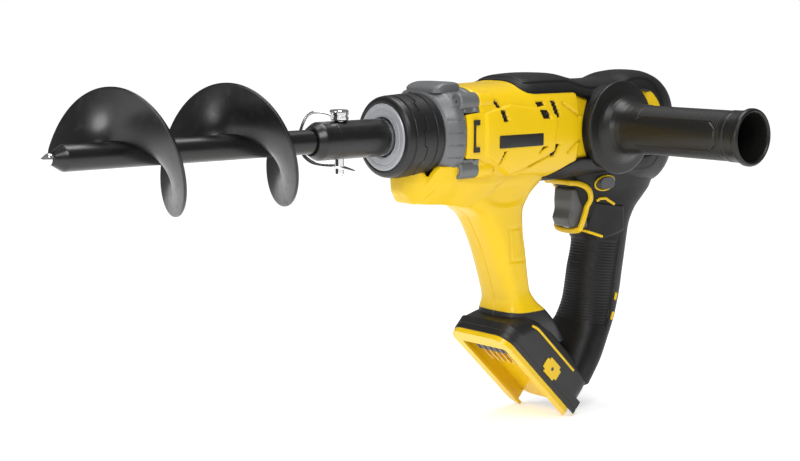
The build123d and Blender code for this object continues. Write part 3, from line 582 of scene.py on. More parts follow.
BARREL = [
    (47.6, 33.8, 33.4, -33.6, 3.1), (60.0, 34.0, 33.5, -34.0, 3.1), (92.0, 34.3, 34.2, -35.6, 3.1),
    (104.0, 34.4, 35.2, -36.0, 3.0), (116.0, 34.5, 37.6, -36.6, 3.0), (134.0, 34.5, 38.4, -37.0, 3.0),
    (150.0, 34.5, 38.0, -37.0, 3.0), (164.0, 34.5, 35.3, -36.2, 3.0), (178.0, 34.4, 32.7, -36.0, 3.0),
    (198.0, 34.2, 32.5, -36.6, 3.0), (212.0, 34.0, 33.0, -38.0, 3.0), (227.0, 33.0, 37.2, -42.0, 2.9),
    (240.0, 32.0, 38.3, -45.0, 2.8), (250.0, 30.6, 37.7, -45.6, 2.7), (262.0, 27.6, 34.8, -45.6, 2.6),
    (271.0, 23.4, 30.6, -42.4, 2.5), (277.0, 18.6, 25.6, -38.0, 2.5), (280.3, 12.6, 19.0, -31.0, 2.4),
    (280.7, 5.0, 8.0, -14.0, 2.2),
]

COLUMN = [
    (-20.0, 61.0, 158.0, 27.0, 3.2), (-30.0, 61.0, 149.0, 25.5, 3.2), (-36.0, 61.0, 141.5, 24.0, 3.2),
    (-47.0, 62.5, 129.5, 21.5, 3.2), (-60.0, 79.0, 123.0, 19.6, 3.2), (-72.0, 87.0, 123.4, 19.0, 3.2),
    (-86.0, 94.0, 125.5, 18.8, 3.2), (-115.0, 105.0, 129.6, 18.9, 3.2), (-124.0, 107.6, 135.0, 20.4, 3.4),
    (-131.0, 107.0, 143.0, 23.0, 3.6), (-140.0, 104.0, 153.0, 24.0, 3.4), (-158.0, 98.5, 171.0, 20.6, 2.8),
]

GRIP = [
    (-24.0, 168.0, 272.5, 27.0, 3.0), (-36.0, 174.0, 269.5, 24.4, 2.9), (-44.0, 177.0, 268.0, 22.0, 2.8),
    (-50.0, 179.4, 266.0, 20.4, 2.7), (-56.0, 182.0, 260.5, 19.6, 2.6), (-66.0, 188.0, 249.6, 19.0, 2.5),
    (-78.0, 193.0, 242.6, 19.0, 2.4), (-89.0, 195.0, 240.0, 19.0, 2.4), (-110.0, 190.4, 236.5, 19.0, 2.4),
    (-131.0, 187.0, 232.3, 19.5, 2.4), (-146.0, 183.0, 224.4, 21.8, 2.6), (-160.0, 174.0, 214.0, 24.6, 2.9),
    (-176.0, 162.0, 202.4, 27.2, 3.2), (-191.6, 146.0, 189.8, 28.6, 3.4),
]

FOOT_TILT = np.radians(43.6)
FOOT_ALONG = np.array([np.cos(FOOT_TILT), 0.0, -np.sin(FOOT_TILT)])
FOOT_UP = np.array([np.sin(FOOT_TILT), 0.0, np.cos(FOOT_TILT)])
FOOT_ORIGIN = np.array([100.0, 0.0, -158.4])
FOOT_REAR = 80.0


def along_table(table, count, lead, fill=None):
    """Columns of a station table, each a smooth curve of the distance along the chosen leading columns."""
    run = chord(table, *lead)
    at = np.linspace(0, 1, count) if fill is None else fill
    return [curve(at, run, [row[i] for row in table])[:, None] for i in range(len(table[0]))]


def foot_trim(points, low):
    """Keeps points inside the foot: those past its open end or under its lower face slide back to it."""
    rel = points - FOOT_ORIGIN
    past = np.maximum(rel @ FOOT_ALONG - (FOOT_REAR + 1.0), 0.0)
    points = points - past[..., None] * FOOT_ALONG
    under = np.maximum(low - (points - FOOT_ORIGIN) @ FOOT_UP, 0.0)
    return points + under[..., None] * FOOT_UP


def barrel_relief(x, y, z):
    """Height of the side mouldings in mm, and how dark the vent slots are painted as painted shade, by place on the
    side.
    """
    side = smooth(24.0 - np.abs(y), 8.0)
    panel = polygon(x, z, [(64, -13), (92, -29), (131, -14), (133, 11), (122, 15.6), (88, 19.6), (64, 15)])
    height = 1.7 * smooth(panel, 1.6)
    rear = polygon(x, z, [(136, -20), (150, -15.5), (159.5, -8), (159.5, 9), (148, 18.6), (136, 21)])
    height = height - 2.6 * smooth(157.5 - x, 2.0) * smooth(x - 240, 4.0) * (1 - smooth(rear, 1.6))
    ridge = np.minimum(segment(x, z, (141, 19.0), (157, 9.6)), segment(x, z, (147, -15.6), (158, -7.8)))
    height = height - 1.4 * smooth(ridge - 1.1, 0.8)
    heel = polygon(x, z, [(66, -31), (92, -44), (128, -30), (122, -18), (92, -31), (66, -18)])
    height = height - 1.4 * smooth(heel, 2.5)
    heel_edge = np.minimum(segment(x, z, (62, -17), (92, -31)), segment(x, z, (92, -31), (131, -15.5)))
    height = height - 0.9 * smooth(heel_edge - 1.0, 1.2)
    # Painted shade: the vent slots are pressed in and painted near black.
    dark = np.zeros_like(x)
    slots = [
        [(76.5, 18.5), (80.5, 18.5), (78, 24), (73.5, 24)], [(80.5, 8.6), (85, 8.6), (82.5, 16.5), (77.5, 16.5)],
        [(115.5, 17.6), (122.5, 18.6), (121.5, 21.6), (113.5, 21.2)],
        [(119, 9), (126, 9), (124.5, 15.4), (115.5, 15.4)],
        [(132.5, 9.5), (137.5, 9.5), (133.5, 21.6), (128.5, 21.6)], [(114.5, -15), (124, -10.4), (119, -10.4)],
        [(129, -18), (133, -18), (137.5, -9.5), (132.5, -9.5)],
        [(77.5, -20.6), (79, -20.6), (84, -11.6), (81.6, -11.6)],
        [(108.4, -24.4), (111, -24.4), (121, -18.6), (119, -18.4)], [(71.5, -26.4), (77.5, -26.4), (74.8, -23.4)],
    ]
    for corners in slots:
        depth = smooth(polygon(x, z, corners) + 0.1, 0.9)
        dark = np.maximum(dark, depth)
    height = height * side - 3.0 * dark * side
    return height, dark * side


def barrel_rings(x, half, top, bottom, exponent, angle):
    """Points of the barrel: a superellipse across the tool at each X, taller above than below its middle."""
    c, s = power(angle, exponent)
    middle = (top + bottom) / 2
    points = np.stack(np.broadcast_arrays(x, half * c, middle + (top - bottom) / 2 * s), -1)
    return points


def barrel_angle(x, z):
    """Angle round the barrel's right side at which its surface reaches a height, at each X."""
    run = chord(BARREL, 0, 1)
    fine = np.linspace(0, 1, 1200)
    columns = [curve(fine, run, [row[i] for row in BARREL]) for i in range(5)]
    top, bottom, exponent = (np.interp(x, columns[0], columns[i]) for i in (2, 3, 4))
    level = np.clip((z - (top + bottom) / 2) / ((top - bottom) / 2), -1, 1)
    return np.arcsin(np.sign(level) * np.abs(level) ** (exponent / 2))


def upright_rings(z, front, rear, half, exponent, angle):
    """Points of an upright: a superellipse in X and Y at each height. Angle 0 points forwards."""
    c, s = power(angle, exponent)
    middle, reach = (front + rear) / 2, (rear - front) / 2
    return np.stack(np.broadcast_arrays(middle - reach * c, half * s, z), -1)


def grip_rings(rows, angle, extra=0.0):
    """Grip surface with its mouldings, and a mark from 0 to 1 for its painted highlight, lighter on the raised smooth
    panel and the rib crests.
    """
    z, front, rear, half, exponent = along_table(GRIP, rows, (0, 1, 2))
    points = upright_rings(z, front, rear, half, exponent, angle)
    x, level = points[..., 0], points[..., 2]
    forward = (x - front) / np.maximum(rear - front, 1)
    ribbed = smooth(level + 86.0 + 0.12 * (x - 195), 2.0) * smooth(-150 + 0.2 * (200 - x) - level, 2.0)
    ribbed = ribbed * smooth(forward - 0.52, 0.05)
    ribs = np.abs(np.sin(np.pi * (level + 0.12 * x) / 2.2)) ** 0.7
    height = ribbed * (0.35 * ribs - 0.55)
    edge = np.abs(forward - 0.56)
    height = height - 0.5 * smooth(edge * 46 - 0.5, 0.6) * smooth(level + 84, 3) * smooth(-152 - level, 3)
    back = np.abs(forward - 0.86) * 46
    height = height - 0.8 * smooth(back - 0.6, 0.7) * smooth(level + 78, 3) * smooth(-140 - level, 3)
    panel = polygon(x, level, [(200, -86), (226, -80), (224, -62), (196, -58), (193, -78)])
    height = height + 0.7 * smooth(panel, 1.2)
    out = normals(points, True)
    points = points + out * (height[..., None] - 0.7 + extra)
    # Painted highlight: lighter on the raised panel and on the crests of the ribs.
    mark = 0.25 * smooth(panel, 1.5) + 0.2 * ribbed * ribs
    return points, mark


def even(first, last, exponent, wide, tall, count):
    """Angles from first to last that spread points evenly along a superellipse, by its own length."""
    fine = np.linspace(first, last, 6001)
    c, s = power(fine, exponent)
    run = np.concatenate([[0.0], np.cumsum(np.hypot(np.diff(wide * c), np.diff(tall * s)))])
    return np.interp(np.linspace(0, run[-1], count), run, fine)


def side_of(table, x, z):
    """How far out the side of an upright lies at a place seen from the side."""
    level = [row[0] for row in table][::-1]
    front, rear, half, exponent = (np.interp(z, level, [row[i] for row in table][::-1]) for i in (1, 2, 3, 4))
    c = np.clip(np.abs((x - (front + rear) / 2) / ((rear - front) / 2)), 0, 1)
    return half * (1 - c ** exponent) ** (1 / exponent)


def edge_of(knots, x):
    """Smooth height of an edge along X."""
    return curve(x, [k[0] for k in knots], [k[1] for k in knots])


def lofted(stations, outlines, rows):
    """Outlines of equal length blended along their stations by smooth curves, as rows by points by two."""
    at = np.linspace(0, 1, rows)
    run = (np.asarray(stations, float) - stations[0]) / (stations[-1] - stations[0])
    stack = np.asarray(outlines, float)
    flat = stack.reshape(len(stations), -1)
    made = np.stack([curve(at, run, flat[:, i]) for i in range(flat.shape[1])], 1)
    return made.reshape(rows, stack.shape[1], 2), stations[0] + at * (stations[-1] - stations[0])


# ---------------------------------------------------------------- body shells

COVER_EDGE = [(103.0, 33.0), (106.0, 29.0), (110.0, 27.0), (116.0, 26.2), (152.0, 26.2), (166.0, 22.4), (178.0, 21.0),
              (205.0, 21.6), (230.0, 25.6), (241.0, 24.4), (248.0, 18.6), (252.5, 10.0), (255.0, 0.0),
              (262.0, -3.0), (281.0, -3.0)]
UNDER_EDGE = [(126.0, -35.4), (134.0, -33.2), (143.0, -28.6), (153.0, -23.6), (164.0, -21.0), (200.0, -21.0),
              (232.0, -23.4), (243.0, -21.0), (250.0, -13.0), (255.0, -3.4), (262.0, -3.4), (281.0, -3.4)]


def barrel_shell(side):
    """One yellow half of the barrel: half superellipses carried back along the tool, with the side mouldings
    added along their normals, and the same again 2.6 mm further in as the inside of the wall."""
    rows = 276
    x, half, top, bottom, exponent = along_table(BARREL, rows, (0, 1, 2), np.linspace(0, 1, rows) ** 0.92)
    angle = even(-np.pi / 2, np.pi / 2, 3.1, 34.5, 36.0, 176)[None]
    points = barrel_rings(x, half, top, bottom, exponent, angle)
    front = 60.0 - 12.6 * smooth(np.abs(points[..., 2]) - 15.5, 1.2)
    push = np.clip((72.0 - points[..., 0]) / 24.4, 0, 1)
    points[..., 0] = points[..., 0] + push * (front - 47.6)
    out = normals(points, False)
    out *= np.sign(np.sum(out[..., 1:] * points[..., 1:], -1).mean())
    # dark carries the painted shade of the vent slots.
    height, dark = barrel_relief(points[..., 0], points[..., 1], points[..., 2])
    lip = 0.5 * smooth(points[..., 0] - (front + 1.6), 1.2)
    seam = smooth(points[..., 1] - 0.3, 0.4)
    outer = points + out * (height - lip - 0.35 * seam)[..., None]
    shrink = np.array([0.0, 1.0, 1.0]) * (1 - 2.8 / np.maximum(half, 6.0))[..., None]
    inner = points * (shrink + [1.0, 0.0, 0.0])
    inner[..., 0] = np.minimum(inner[..., 0], 277.5)
    for grid in (outer, inner):
        grid[..., 1] = np.maximum(grid[..., 1], 0.03)
        grid[..., 1] *= side
    return outer, inner, dark


def cover_sheet(name, edge, start, over, rows, columns, stands_for=None):
    """Soft cover that wraps the barrel from one edge over the top, or under the bottom, to the other edge.
    Its face stands proud of the shell and rolls down to it as a quarter circle at every edge."""
    table_x = np.linspace(start, COVER_END, rows)
    run = [row[0] for row in BARREL]
    half, top, bottom, exponent = (curve(table_x, run, [row[i] for row in BARREL])[:, None] for i in (1, 2, 3, 4))
    limit = barrel_angle(table_x, edge_of(edge, table_x))[:, None]
    fine = even(-np.pi / 2, np.pi / 2, 3.1, 34.5, 36.0, 2001)
    whole = np.linspace(0, 1, 2001)
    part = np.interp(limit, fine, whole)
    u = np.linspace(-1, 1, columns)[None]
    share = 1 - np.abs(u) * (1 - part) if over else part * np.abs(u)
    angle = np.interp(share, whole, fine)
    points = barrel_rings(table_x[:, None], half, top, bottom, exponent, angle)
    points[..., 1] *= np.sign(u) + (u == 0)
    out = normals(points, False)
    out *= np.sign(np.sum(out[..., 1:] * points[..., 1:], -1).mean())
    arc = (1 - np.abs(u)) * np.pi / 2 * 52 * np.abs((1 if over else 0) - part)
    ends = np.minimum(table_x - start, 30.0)[:, None]
    near = np.minimum(arc, ends)
    roll = np.sqrt(np.clip(1 - (1 - np.clip(near / 1.3, 0, 1)) ** 2, 0, 1))
    field = 0.9 * smooth(6.2 - near, 1.6)
    outer = points + out * (COVER_PROUD * roll - 0.5 * (1 - roll) + field * (1.0 if over else 0.5))[..., None]
    inner = points - out * 1.4
    inner[..., 0] = np.minimum(inner[..., 0], 279.0)
    sheet(name, outer, inner, "cover", stands_for=stands_for)


COLUMN_SPLIT = 9


def column_rings(rows, count, yellow):
    """The column: superellipses in X and Y from the barrel down to the foot, with the empty recessed
    frame, the oval hollow and the front seam pressed in along their normals. The part above the split is the
    yellow moulding, and the part below it is the dark neck."""
    split = chord(COLUMN, 0, 1, 2)[COLUMN_SPLIT]
    fill = np.linspace(0, split, rows) if yellow else np.linspace(split - 0.004, 1, rows)
    z, front, rear, half, exponent = along_table(COLUMN, rows, (0, 1, 2), fill)
    angle = even(0.0, 2 * np.pi, 3.2, 22.0, 26.0, count + 1)[None, :-1]
    points = upright_rings(z, front, rear, half, exponent, angle)
    x, y, level = points[..., 0], points[..., 1], points[..., 2]
    side = smooth(12.0 - np.abs(y), 4.0)
    frame_out = polygon(x, level, [(104.5, -94), (119.5, -94.5), (117.5, -67.5), (102, -68)])
    height = -0.55 * smooth(frame_out, 0.8) * side + 0.4 * smooth(frame_out + 2.6, 0.8) * side
    hollow = np.hypot((x - 100) / 24.0, (level + 44) / 9.0)
    height = height - 1.3 * smooth(hollow - 0.85, 0.5) * side
    height = height - 0.45 * smooth(np.abs(y) - 0.35, 0.5)
    out = normals(points, True)
    out *= np.sign(np.sum(out[..., :1] * (x - (front + rear) / 2)[..., None], -1).mean())
    return foot_trim(points + out * height[..., None], FOOT_LOW)


def chin_rings(rows, count):
    """The keel under the barrel's front: a rounded wedge whose width grows backwards from the nose."""
    stations = [13.2, 16.0, 22.0, 32.0, 46.0, 62.0, 78.0, 93.0]
    shapes = [
        (7.0, -25.0, -25.3, 6.8, -31.0, 6.0, -37.6), (9.4, -23.0, -23.3, 9.6, -31.0, 8.2, -40.6),
        (15.5, -21.0, -21.4, 15.4, -31.0, 9.6, -46.4), (25.0, -20.0, -30.6, 23.6, -31.0, 10.4, -47.2),
        (28.0, -20.0, -31.0, 26.6, -32.0, 12.4, -48.2), (28.4, -20.0, -31.0, 27.0, -34.0, 14.6, -51.0),
        (28.0, -20.0, -31.0, 26.4, -35.0, 15.6, -52.0), (26.0, -20.0, -31.0, 24.4, -33.0, 14.0, -48.0),
    ]
    outlines = [rounded([(a, b), (0.8 * a, b), (0.72 * a, n), (-0.72 * a, n), (-0.8 * a, b), (-a, b), (-c, d),
                         (-e, f), (e, f), (c, d)], (0.8, 0.1, 0.1, 0.1, 0.1, 0.8, 2.4, 2.4, 2.4, 2.4), count)
                for a, b, n, c, d, e, f in shapes]
    ring, x = lofted(stations, outlines, rows)
    points = np.stack([np.broadcast_to(x[:, None], ring.shape[:2]), ring[..., 0], ring[..., 1]], -1)
    middle = points.mean(1, keepdims=True)
    inset = 1.6 * (1 - np.sqrt(np.clip(1 - (1 - np.clip((x - 13.2) / 1.6, 0, 1)) ** 2, 0, 1)))[:, None, None]
    away = points - middle
    points = points - away / np.linalg.norm(away, axis=2, keepdims=True) * inset
    seam = smooth(np.abs(points[..., 1]) - 0.3, 0.5) * smooth(points[..., 2] + 30, 4)
    points[..., 2] += 0.45 * seam
    return points


def surface_ribbon(name, route, wide, proud, side, offset, closed=False):
    """Narrow raised yellow band that follows the grip's side: its route is a smooth path seen from the side, and its
    section is a soft-cornered oval."""
    flat = spline_path([(x, z) for x, z in route], 90, closed)
    x, z = flat[:, 0], flat[:, 1]
    y = side_of(GRIP, x, z) + offset
    path = np.stack([x, side * y, z], 1)
    travel = np.roll(path, -1, 0) - np.roll(path, 1, 0) if closed else np.gradient(path, axis=0)
    step = 0.5
    level = side_of(GRIP, x + step, z) - side_of(GRIP, x - step, z)
    rise = side_of(GRIP, x, z + step) - side_of(GRIP, x, z - step)
    out = np.stack([-level / (2 * step), np.full_like(x, 1.0) * side, -rise / (2 * step)], 1)
    out /= np.linalg.norm(out, axis=1, keepdims=True)
    across = np.cross(travel, out)
    ends = np.ones(len(path)) if closed else np.sqrt(np.clip(1 - (1 - np.clip(
        np.minimum(np.arange(len(path)), np.arange(len(path))[::-1]) / 4.0, 0, 1)) ** 2, 0.04, 1))
    rings = swept(path, across, wide / 2 * ends, proud * ends, 16, closed, 2.6)
    (ring_tube if closed else tube)(name, rings, "yellow")


def foot_place(rings):
    """Turns rings given as (down the foot, across, up from its lower face) into place."""
    return FOOT_ORIGIN + rings[..., :1] * FOOT_ALONG + rings[..., 1:2] * [0.0, 1.0, 0.0] + rings[..., 2:3] * FOOT_UP


def foot_rings(count):
    """The foot shell: rounded rectangles stacked up from the battery face, drawn in at the ledges and the brow."""
    layers = [
        (14.1, 0.05), (24.6, 0.05), (25.0, 0.2), (28.2, 0.2), (28.5, 0.2), (28.8, 1.3), (29.3, 1.7), (30.0, 1.9),
        (33.4, 4.6),
        (33.7, 5.6), (34.2, 6.0), (34.6, 6.0), (37.0, 7.6), (37.7, 8.6), (38.0, 10.0),
    ]
    rings = []
    for level, inset in layers:
        lead = inset + 0.62 * max(level - 14.0, 0.0)
        corners = [(-17 + lead, -30 + inset), (80 - inset, -30 + inset), (80 - inset, 30 - inset),
                   (-17 + lead, 30 - inset)]
        ring = rounded(corners, (13.0, 9.0, 9.0, 13.0), count)
        rings.append(np.stack([ring[:, 0], ring[:, 1], np.full(count, level)], 1))
    return foot_place(np.array(rings))


# ---------------------------------------------------------------- settings

class AugerColours(bpy.types.PropertyGroup):
    """Colours of the tool's finishes."""
    shell: bpy.props.FloatVectorProperty(name="Shell", description="Moulded body halves", subtype="COLOR", size=3,
                                         min=0, max=1, default=(0.8, 0.525, 0.004))
    cover: bpy.props.FloatVectorProperty(name="Soft cover", description="Rubbery cover and grip", subtype="COLOR",
                                         size=3, min=0, max=1, default=(0.006, 0.006, 0.0064))
    foot: bpy.props.FloatVectorProperty(name="Foot", description="Battery foot shell", subtype="COLOR", size=3,
                                        min=0, max=1, default=(0.01, 0.01, 0.0105))
    collar: bpy.props.FloatVectorProperty(name="Collars", description="Turning collars behind the washer",
                                          subtype="COLOR", size=3, min=0, max=1, default=(0.006, 0.006, 0.0065))
    handle: bpy.props.FloatVectorProperty(name="Side handle", description="Side handle moulding", subtype="COLOR",
                                          size=3, min=0, max=1, default=(0.007, 0.0068, 0.0062))
    control: bpy.props.FloatVectorProperty(name="Controls", description="Trigger and direction selector",
                                           subtype="COLOR", size=3, min=0, max=1, default=(0.09, 0.093, 0.097))
    case: bpy.props.FloatVectorProperty(name="Gear case", description="Painted gear case", subtype="COLOR", size=3,
                                        min=0, max=1, default=(0.14, 0.145, 0.15))
    washer: bpy.props.FloatVectorProperty(name="Washer", description="Washer behind the drive socket",
                                          subtype="COLOR", size=3, min=0, max=1, default=(0.42, 0.43, 0.45))
    auger: bpy.props.FloatVectorProperty(name="Bit", description="Gloss coat on shaft, flight and socket",
                                         subtype="COLOR", size=3, min=0, max=1, default=(0.004, 0.004, 0.0045))


class AugerSizes(bpy.types.PropertyGroup):
    """Sizes of the bit that a user may change."""
    flight_radius: bpy.props.FloatProperty(name="Flight radius", description="Reach of the helical flight",
                                           default=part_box("auger_flight")[1][2], min=0.02, unit="LENGTH")
    shaft_radius: bpy.props.FloatProperty(name="Shaft radius", description="Radius of the bit's shaft",
                                          default=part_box("auger_shaft")[1][2], min=0.004, unit="LENGTH")
    flight_pitch: bpy.props.FloatProperty(name="Flight pitch", description="Advance of the flight in one turn",
                                          default=0.0821, min=0.02, unit="LENGTH")
    flight_thickness: bpy.props.FloatProperty(name="Flight thickness",
                                              description="Thickness of the flight along the bit",
                                              default=0.0032, min=0.001, unit="LENGTH")


class AUGER_OT_finishes(bpy.types.Operator):
    """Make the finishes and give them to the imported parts"""
    bl_idname = "auger.finishes"
    bl_label = "Finishes"

    def execute(self, context):
        finishes(context.scene.auger_colours)
        repaint()
        return {"FINISHED"}


class AUGER_OT_barrel(bpy.types.Operator):
    """Make the two yellow halves of the barrel"""
    bl_idname = "auger.barrel"
    bl_label = "Barrel halves"

    def execute(self, context):
        for side, name in ((-1, "left"), (1, "right")):
            outer, inner, dark = barrel_shell(side)
            # The mark paints the vent slots near black as painted shade.
            sheet(f"barrel_half_{name}", outer, inner, "yellow", marks=dark, stands_for=f"housing_{name}")
            boss = turned([(24.0, 8.05), (24.0, 30.0), (31.0, 30.6), (37.0, 30.6), (38.8, 30.0), (39.5, 28.4),
                           (39.5, 8.05)],
                          96, "Y", (HANDLE_X, 0, 0))
            boss[..., 1] *= side
            ring_tube(f"handle_boss_{name}", boss, "cover")
        return {"FINISHED"}


class AUGER_OT_column(bpy.types.Operator):
    """Make the yellow keel and the column down to the foot"""
    bl_idname = "auger.column"
    bl_label = "Keel and column"

    def execute(self, context):
        for name, rings in (("column_moulding", column_rings(230, 340, True)), ("keel_moulding", chin_rings(150, 260))):
            tube(name, rings, "yellow")
        tube("column_neck", column_rings(80, 340, False), "foot")
        return {"FINISHED"}


class AUGER_OT_covers(bpy.types.Operator):
    """Make the soft covers over the barrel's top, rear and underside"""
    bl_idname = "auger.covers"
    bl_label = "Soft covers"

    def execute(self, context):
        cover_sheet("cover_top_moulding", COVER_EDGE, 104.0, True, 232, 205, "top_cover")
        cover_sheet("cover_under_moulding", UNDER_EDGE, 126.0, False, 220, 201)
        x = np.linspace(257.0, 280.69, 60)
        run = [row[0] for row in BARREL]
        half, top, bottom, exponent = (curve(x, run, [row[i] for row in BARREL])[:, None] for i in (1, 2, 3, 4))
        rings = barrel_rings(x[:, None], half + 0.7, top + 0.7, bottom - 0.7, exponent,
                             even(0.0, 2 * np.pi, 2.6, 30.0, 34.0, 241)[None, :-1])
        rings[..., 0] += 0.27
        tube("rear_cap", rings, "cover")
        return {"FINISHED"}


class AUGER_OT_grip(bpy.types.Operator):
    """Make the rear grip and its bright accents"""
    bl_idname = "auger.grip"
    bl_label = "Rear grip"

    def execute(self, context):
        angle = even(0.0, 2 * np.pi, 2.4, 19.0, 24.0, 261)[None, :-1]
        points, mark = grip_rings(350, angle)
        points = foot_trim(points, FOOT_LOW)
        # The mark paints a highlight on the grip's raised panel and rib crests.
        tube("grip_moulding", points, "grip", marks=mark, stands_for="grip_sleeve")
        routes = {
            "accent_upper": [(196.6, -56.6), (199.4, -54.6), (203.0, -54.6), (208.5, -57.0), (214.0, -60.0)],
            "accent_lower": [(190.4, -73.6), (192.0, -77.4), (194.4, -79.6), (199.0, -81.8), (204.4, -84.0)],
            "accent_rear_upper": [(218.6, -128.0), (216.8, -133.5)],
            "accent_rear_lower": [(213.6, -142.0), (210.4, -147.5)],
        }
        for side, name in ((-1, "left"), (1, "right")):
            for label, route in routes.items():
                surface_ribbon(f"{label}_{name}", route, 2.2, 1.1, side, -0.55)
            ring = [(200.4 + 8.8 * np.cos(t), -42.6 + 5.6 * np.sin(t))
                    for t in np.linspace(0, 2 * np.pi, 12, endpoint=False)]
            surface_ribbon(f"selector_rim_{name}", ring, 1.3, 0.9, side, -0.3, closed=True)
        side_line = [(172.5, -41.6), (178.5, -42.2), (184.5, -44.6), (189.0, -49.0), (191.0, -55.0), (190.0, -62.0),
                     (187.6, -68.6), (185.4, -73.4), (183.6, -76.6)]
        left = [(x, -max(float(side_of(GRIP, x, z)) + 0.1, 12.2), z) for x, z in side_line]
        loop = [(170.6, -8.0, -41.0), *left, (182.8, -8.0, -78.4), (182.6, 0.0, -79.0)]
        loop = loop + [(x, -y, z) for x, y, z in loop[::-1][1:]] + [(170.0, 0.0, -41.0)]
        path = spline_path(loop, 260, True)
        across = np.stack([path[:, 0] - 178.0, path[:, 1] * 0, path[:, 2] + 60.0], 1)
        ring_tube("trigger_surround", swept(path, across, 2.1, 1.7, 20, True, 2.8), "yellow",
                  stands_for="trigger_bezel")
        return {"FINISHED"}


class AUGER_OT_foot(bpy.types.Operator):
    """Make the black battery foot shell"""
    bl_idname = "auger.foot"
    bl_label = "Battery foot"

    def execute(self, context):
        tube("foot_moulding", foot_rings(240), "foot", sharp=30.0, stands_for="foot_shell")
        walls = []
        for grow, steps in ((0.0,
                             ((3.7, 0.3), (3.85, 0.1), (4.2, 0.0), (7.4, 0.0), (7.7, 0.26), (8.4, 0.26), (8.7, 0.0),
                              (14.3, 0.0))),
                            (0.58, tuple((level, 0.0) for level in (3.7, 3.85, 4.2, 7.4, 7.7, 8.4, 8.7, 14.3)))):
            wall = []
            for level, inset in steps:
                inset = inset + grow
                ring = rounded([(100.0, 30 - inset), (-17.5 + inset, 30 - inset), (-17.5 + inset, -30 + inset),
                                (100.0, -30 + inset)], (1.0, 12.1, 12.1, 1.0), 700)
                ring = ring[(ring[:, 0] < 80.2)]
                at = np.linspace(0, len(ring) - 1, 320)
                ring = np.stack([np.interp(at, np.arange(len(ring)), ring[:, i]) for i in range(2)], 1)
                wall.append(np.concatenate([ring, np.full((320, 1), level)], 1))
            walls.append(foot_place(np.array(wall)))
        sheet("foot_skirt", walls[0], walls[1], "foot", sharp=30.0)
        plug = rounded([(30.6, 8.4), (43.4, 8.4), (43.4, 10.6), (46.0, 10.6), (46.0, 18.4), (43.4, 18.4),
                        (43.4, 20.6), (30.6, 20.6), (30.6, 18.4), (28.0, 18.4), (28.0, 10.6), (30.6, 10.6)], 0.5, 240)
        hole = rounded([(35.6, 13.1), (38.4, 13.1), (38.4, 15.9), (35.6, 15.9)], 1.39, 40)
        for side, name in ((-1, "left"), (1, "right")):
            low, high = sorted((side * 29.2, side * 30.7))
            slab(f"foot_plug_{name}", plug, low, high, 0.4, "yellow", place=foot_place, stands_for="foot_plugs")
            low, high = sorted((side * 30.4, side * 30.78))
            slab(f"foot_plug_hole_{name}", hole, low, high, 0.06, "inner", place=foot_place)
            along = np.linspace(-1.0, 57.0, 60)
            level = 27.2 - 1.8 * np.clip((8.0 - along) / 9.0, 0, 1) ** 2
            path = np.stack([along, np.full(60, side * 29.6), level], 1)
            tube(f"foot_strip_{name}", foot_place(swept(path, (0.0, 0.0, 1.0), 0.9, 0.75, 14, False, 4.0)),
                         "yellow", stands_for="foot_strips")
        return {"FINISHED"}


def collar_tooth(angle):
    """Wave of eight soft-cornered teeth round the collars' joint: 1 on a tooth and 0 between."""
    return smooth(-np.cos(8 * angle) * 1.0, 0.5)


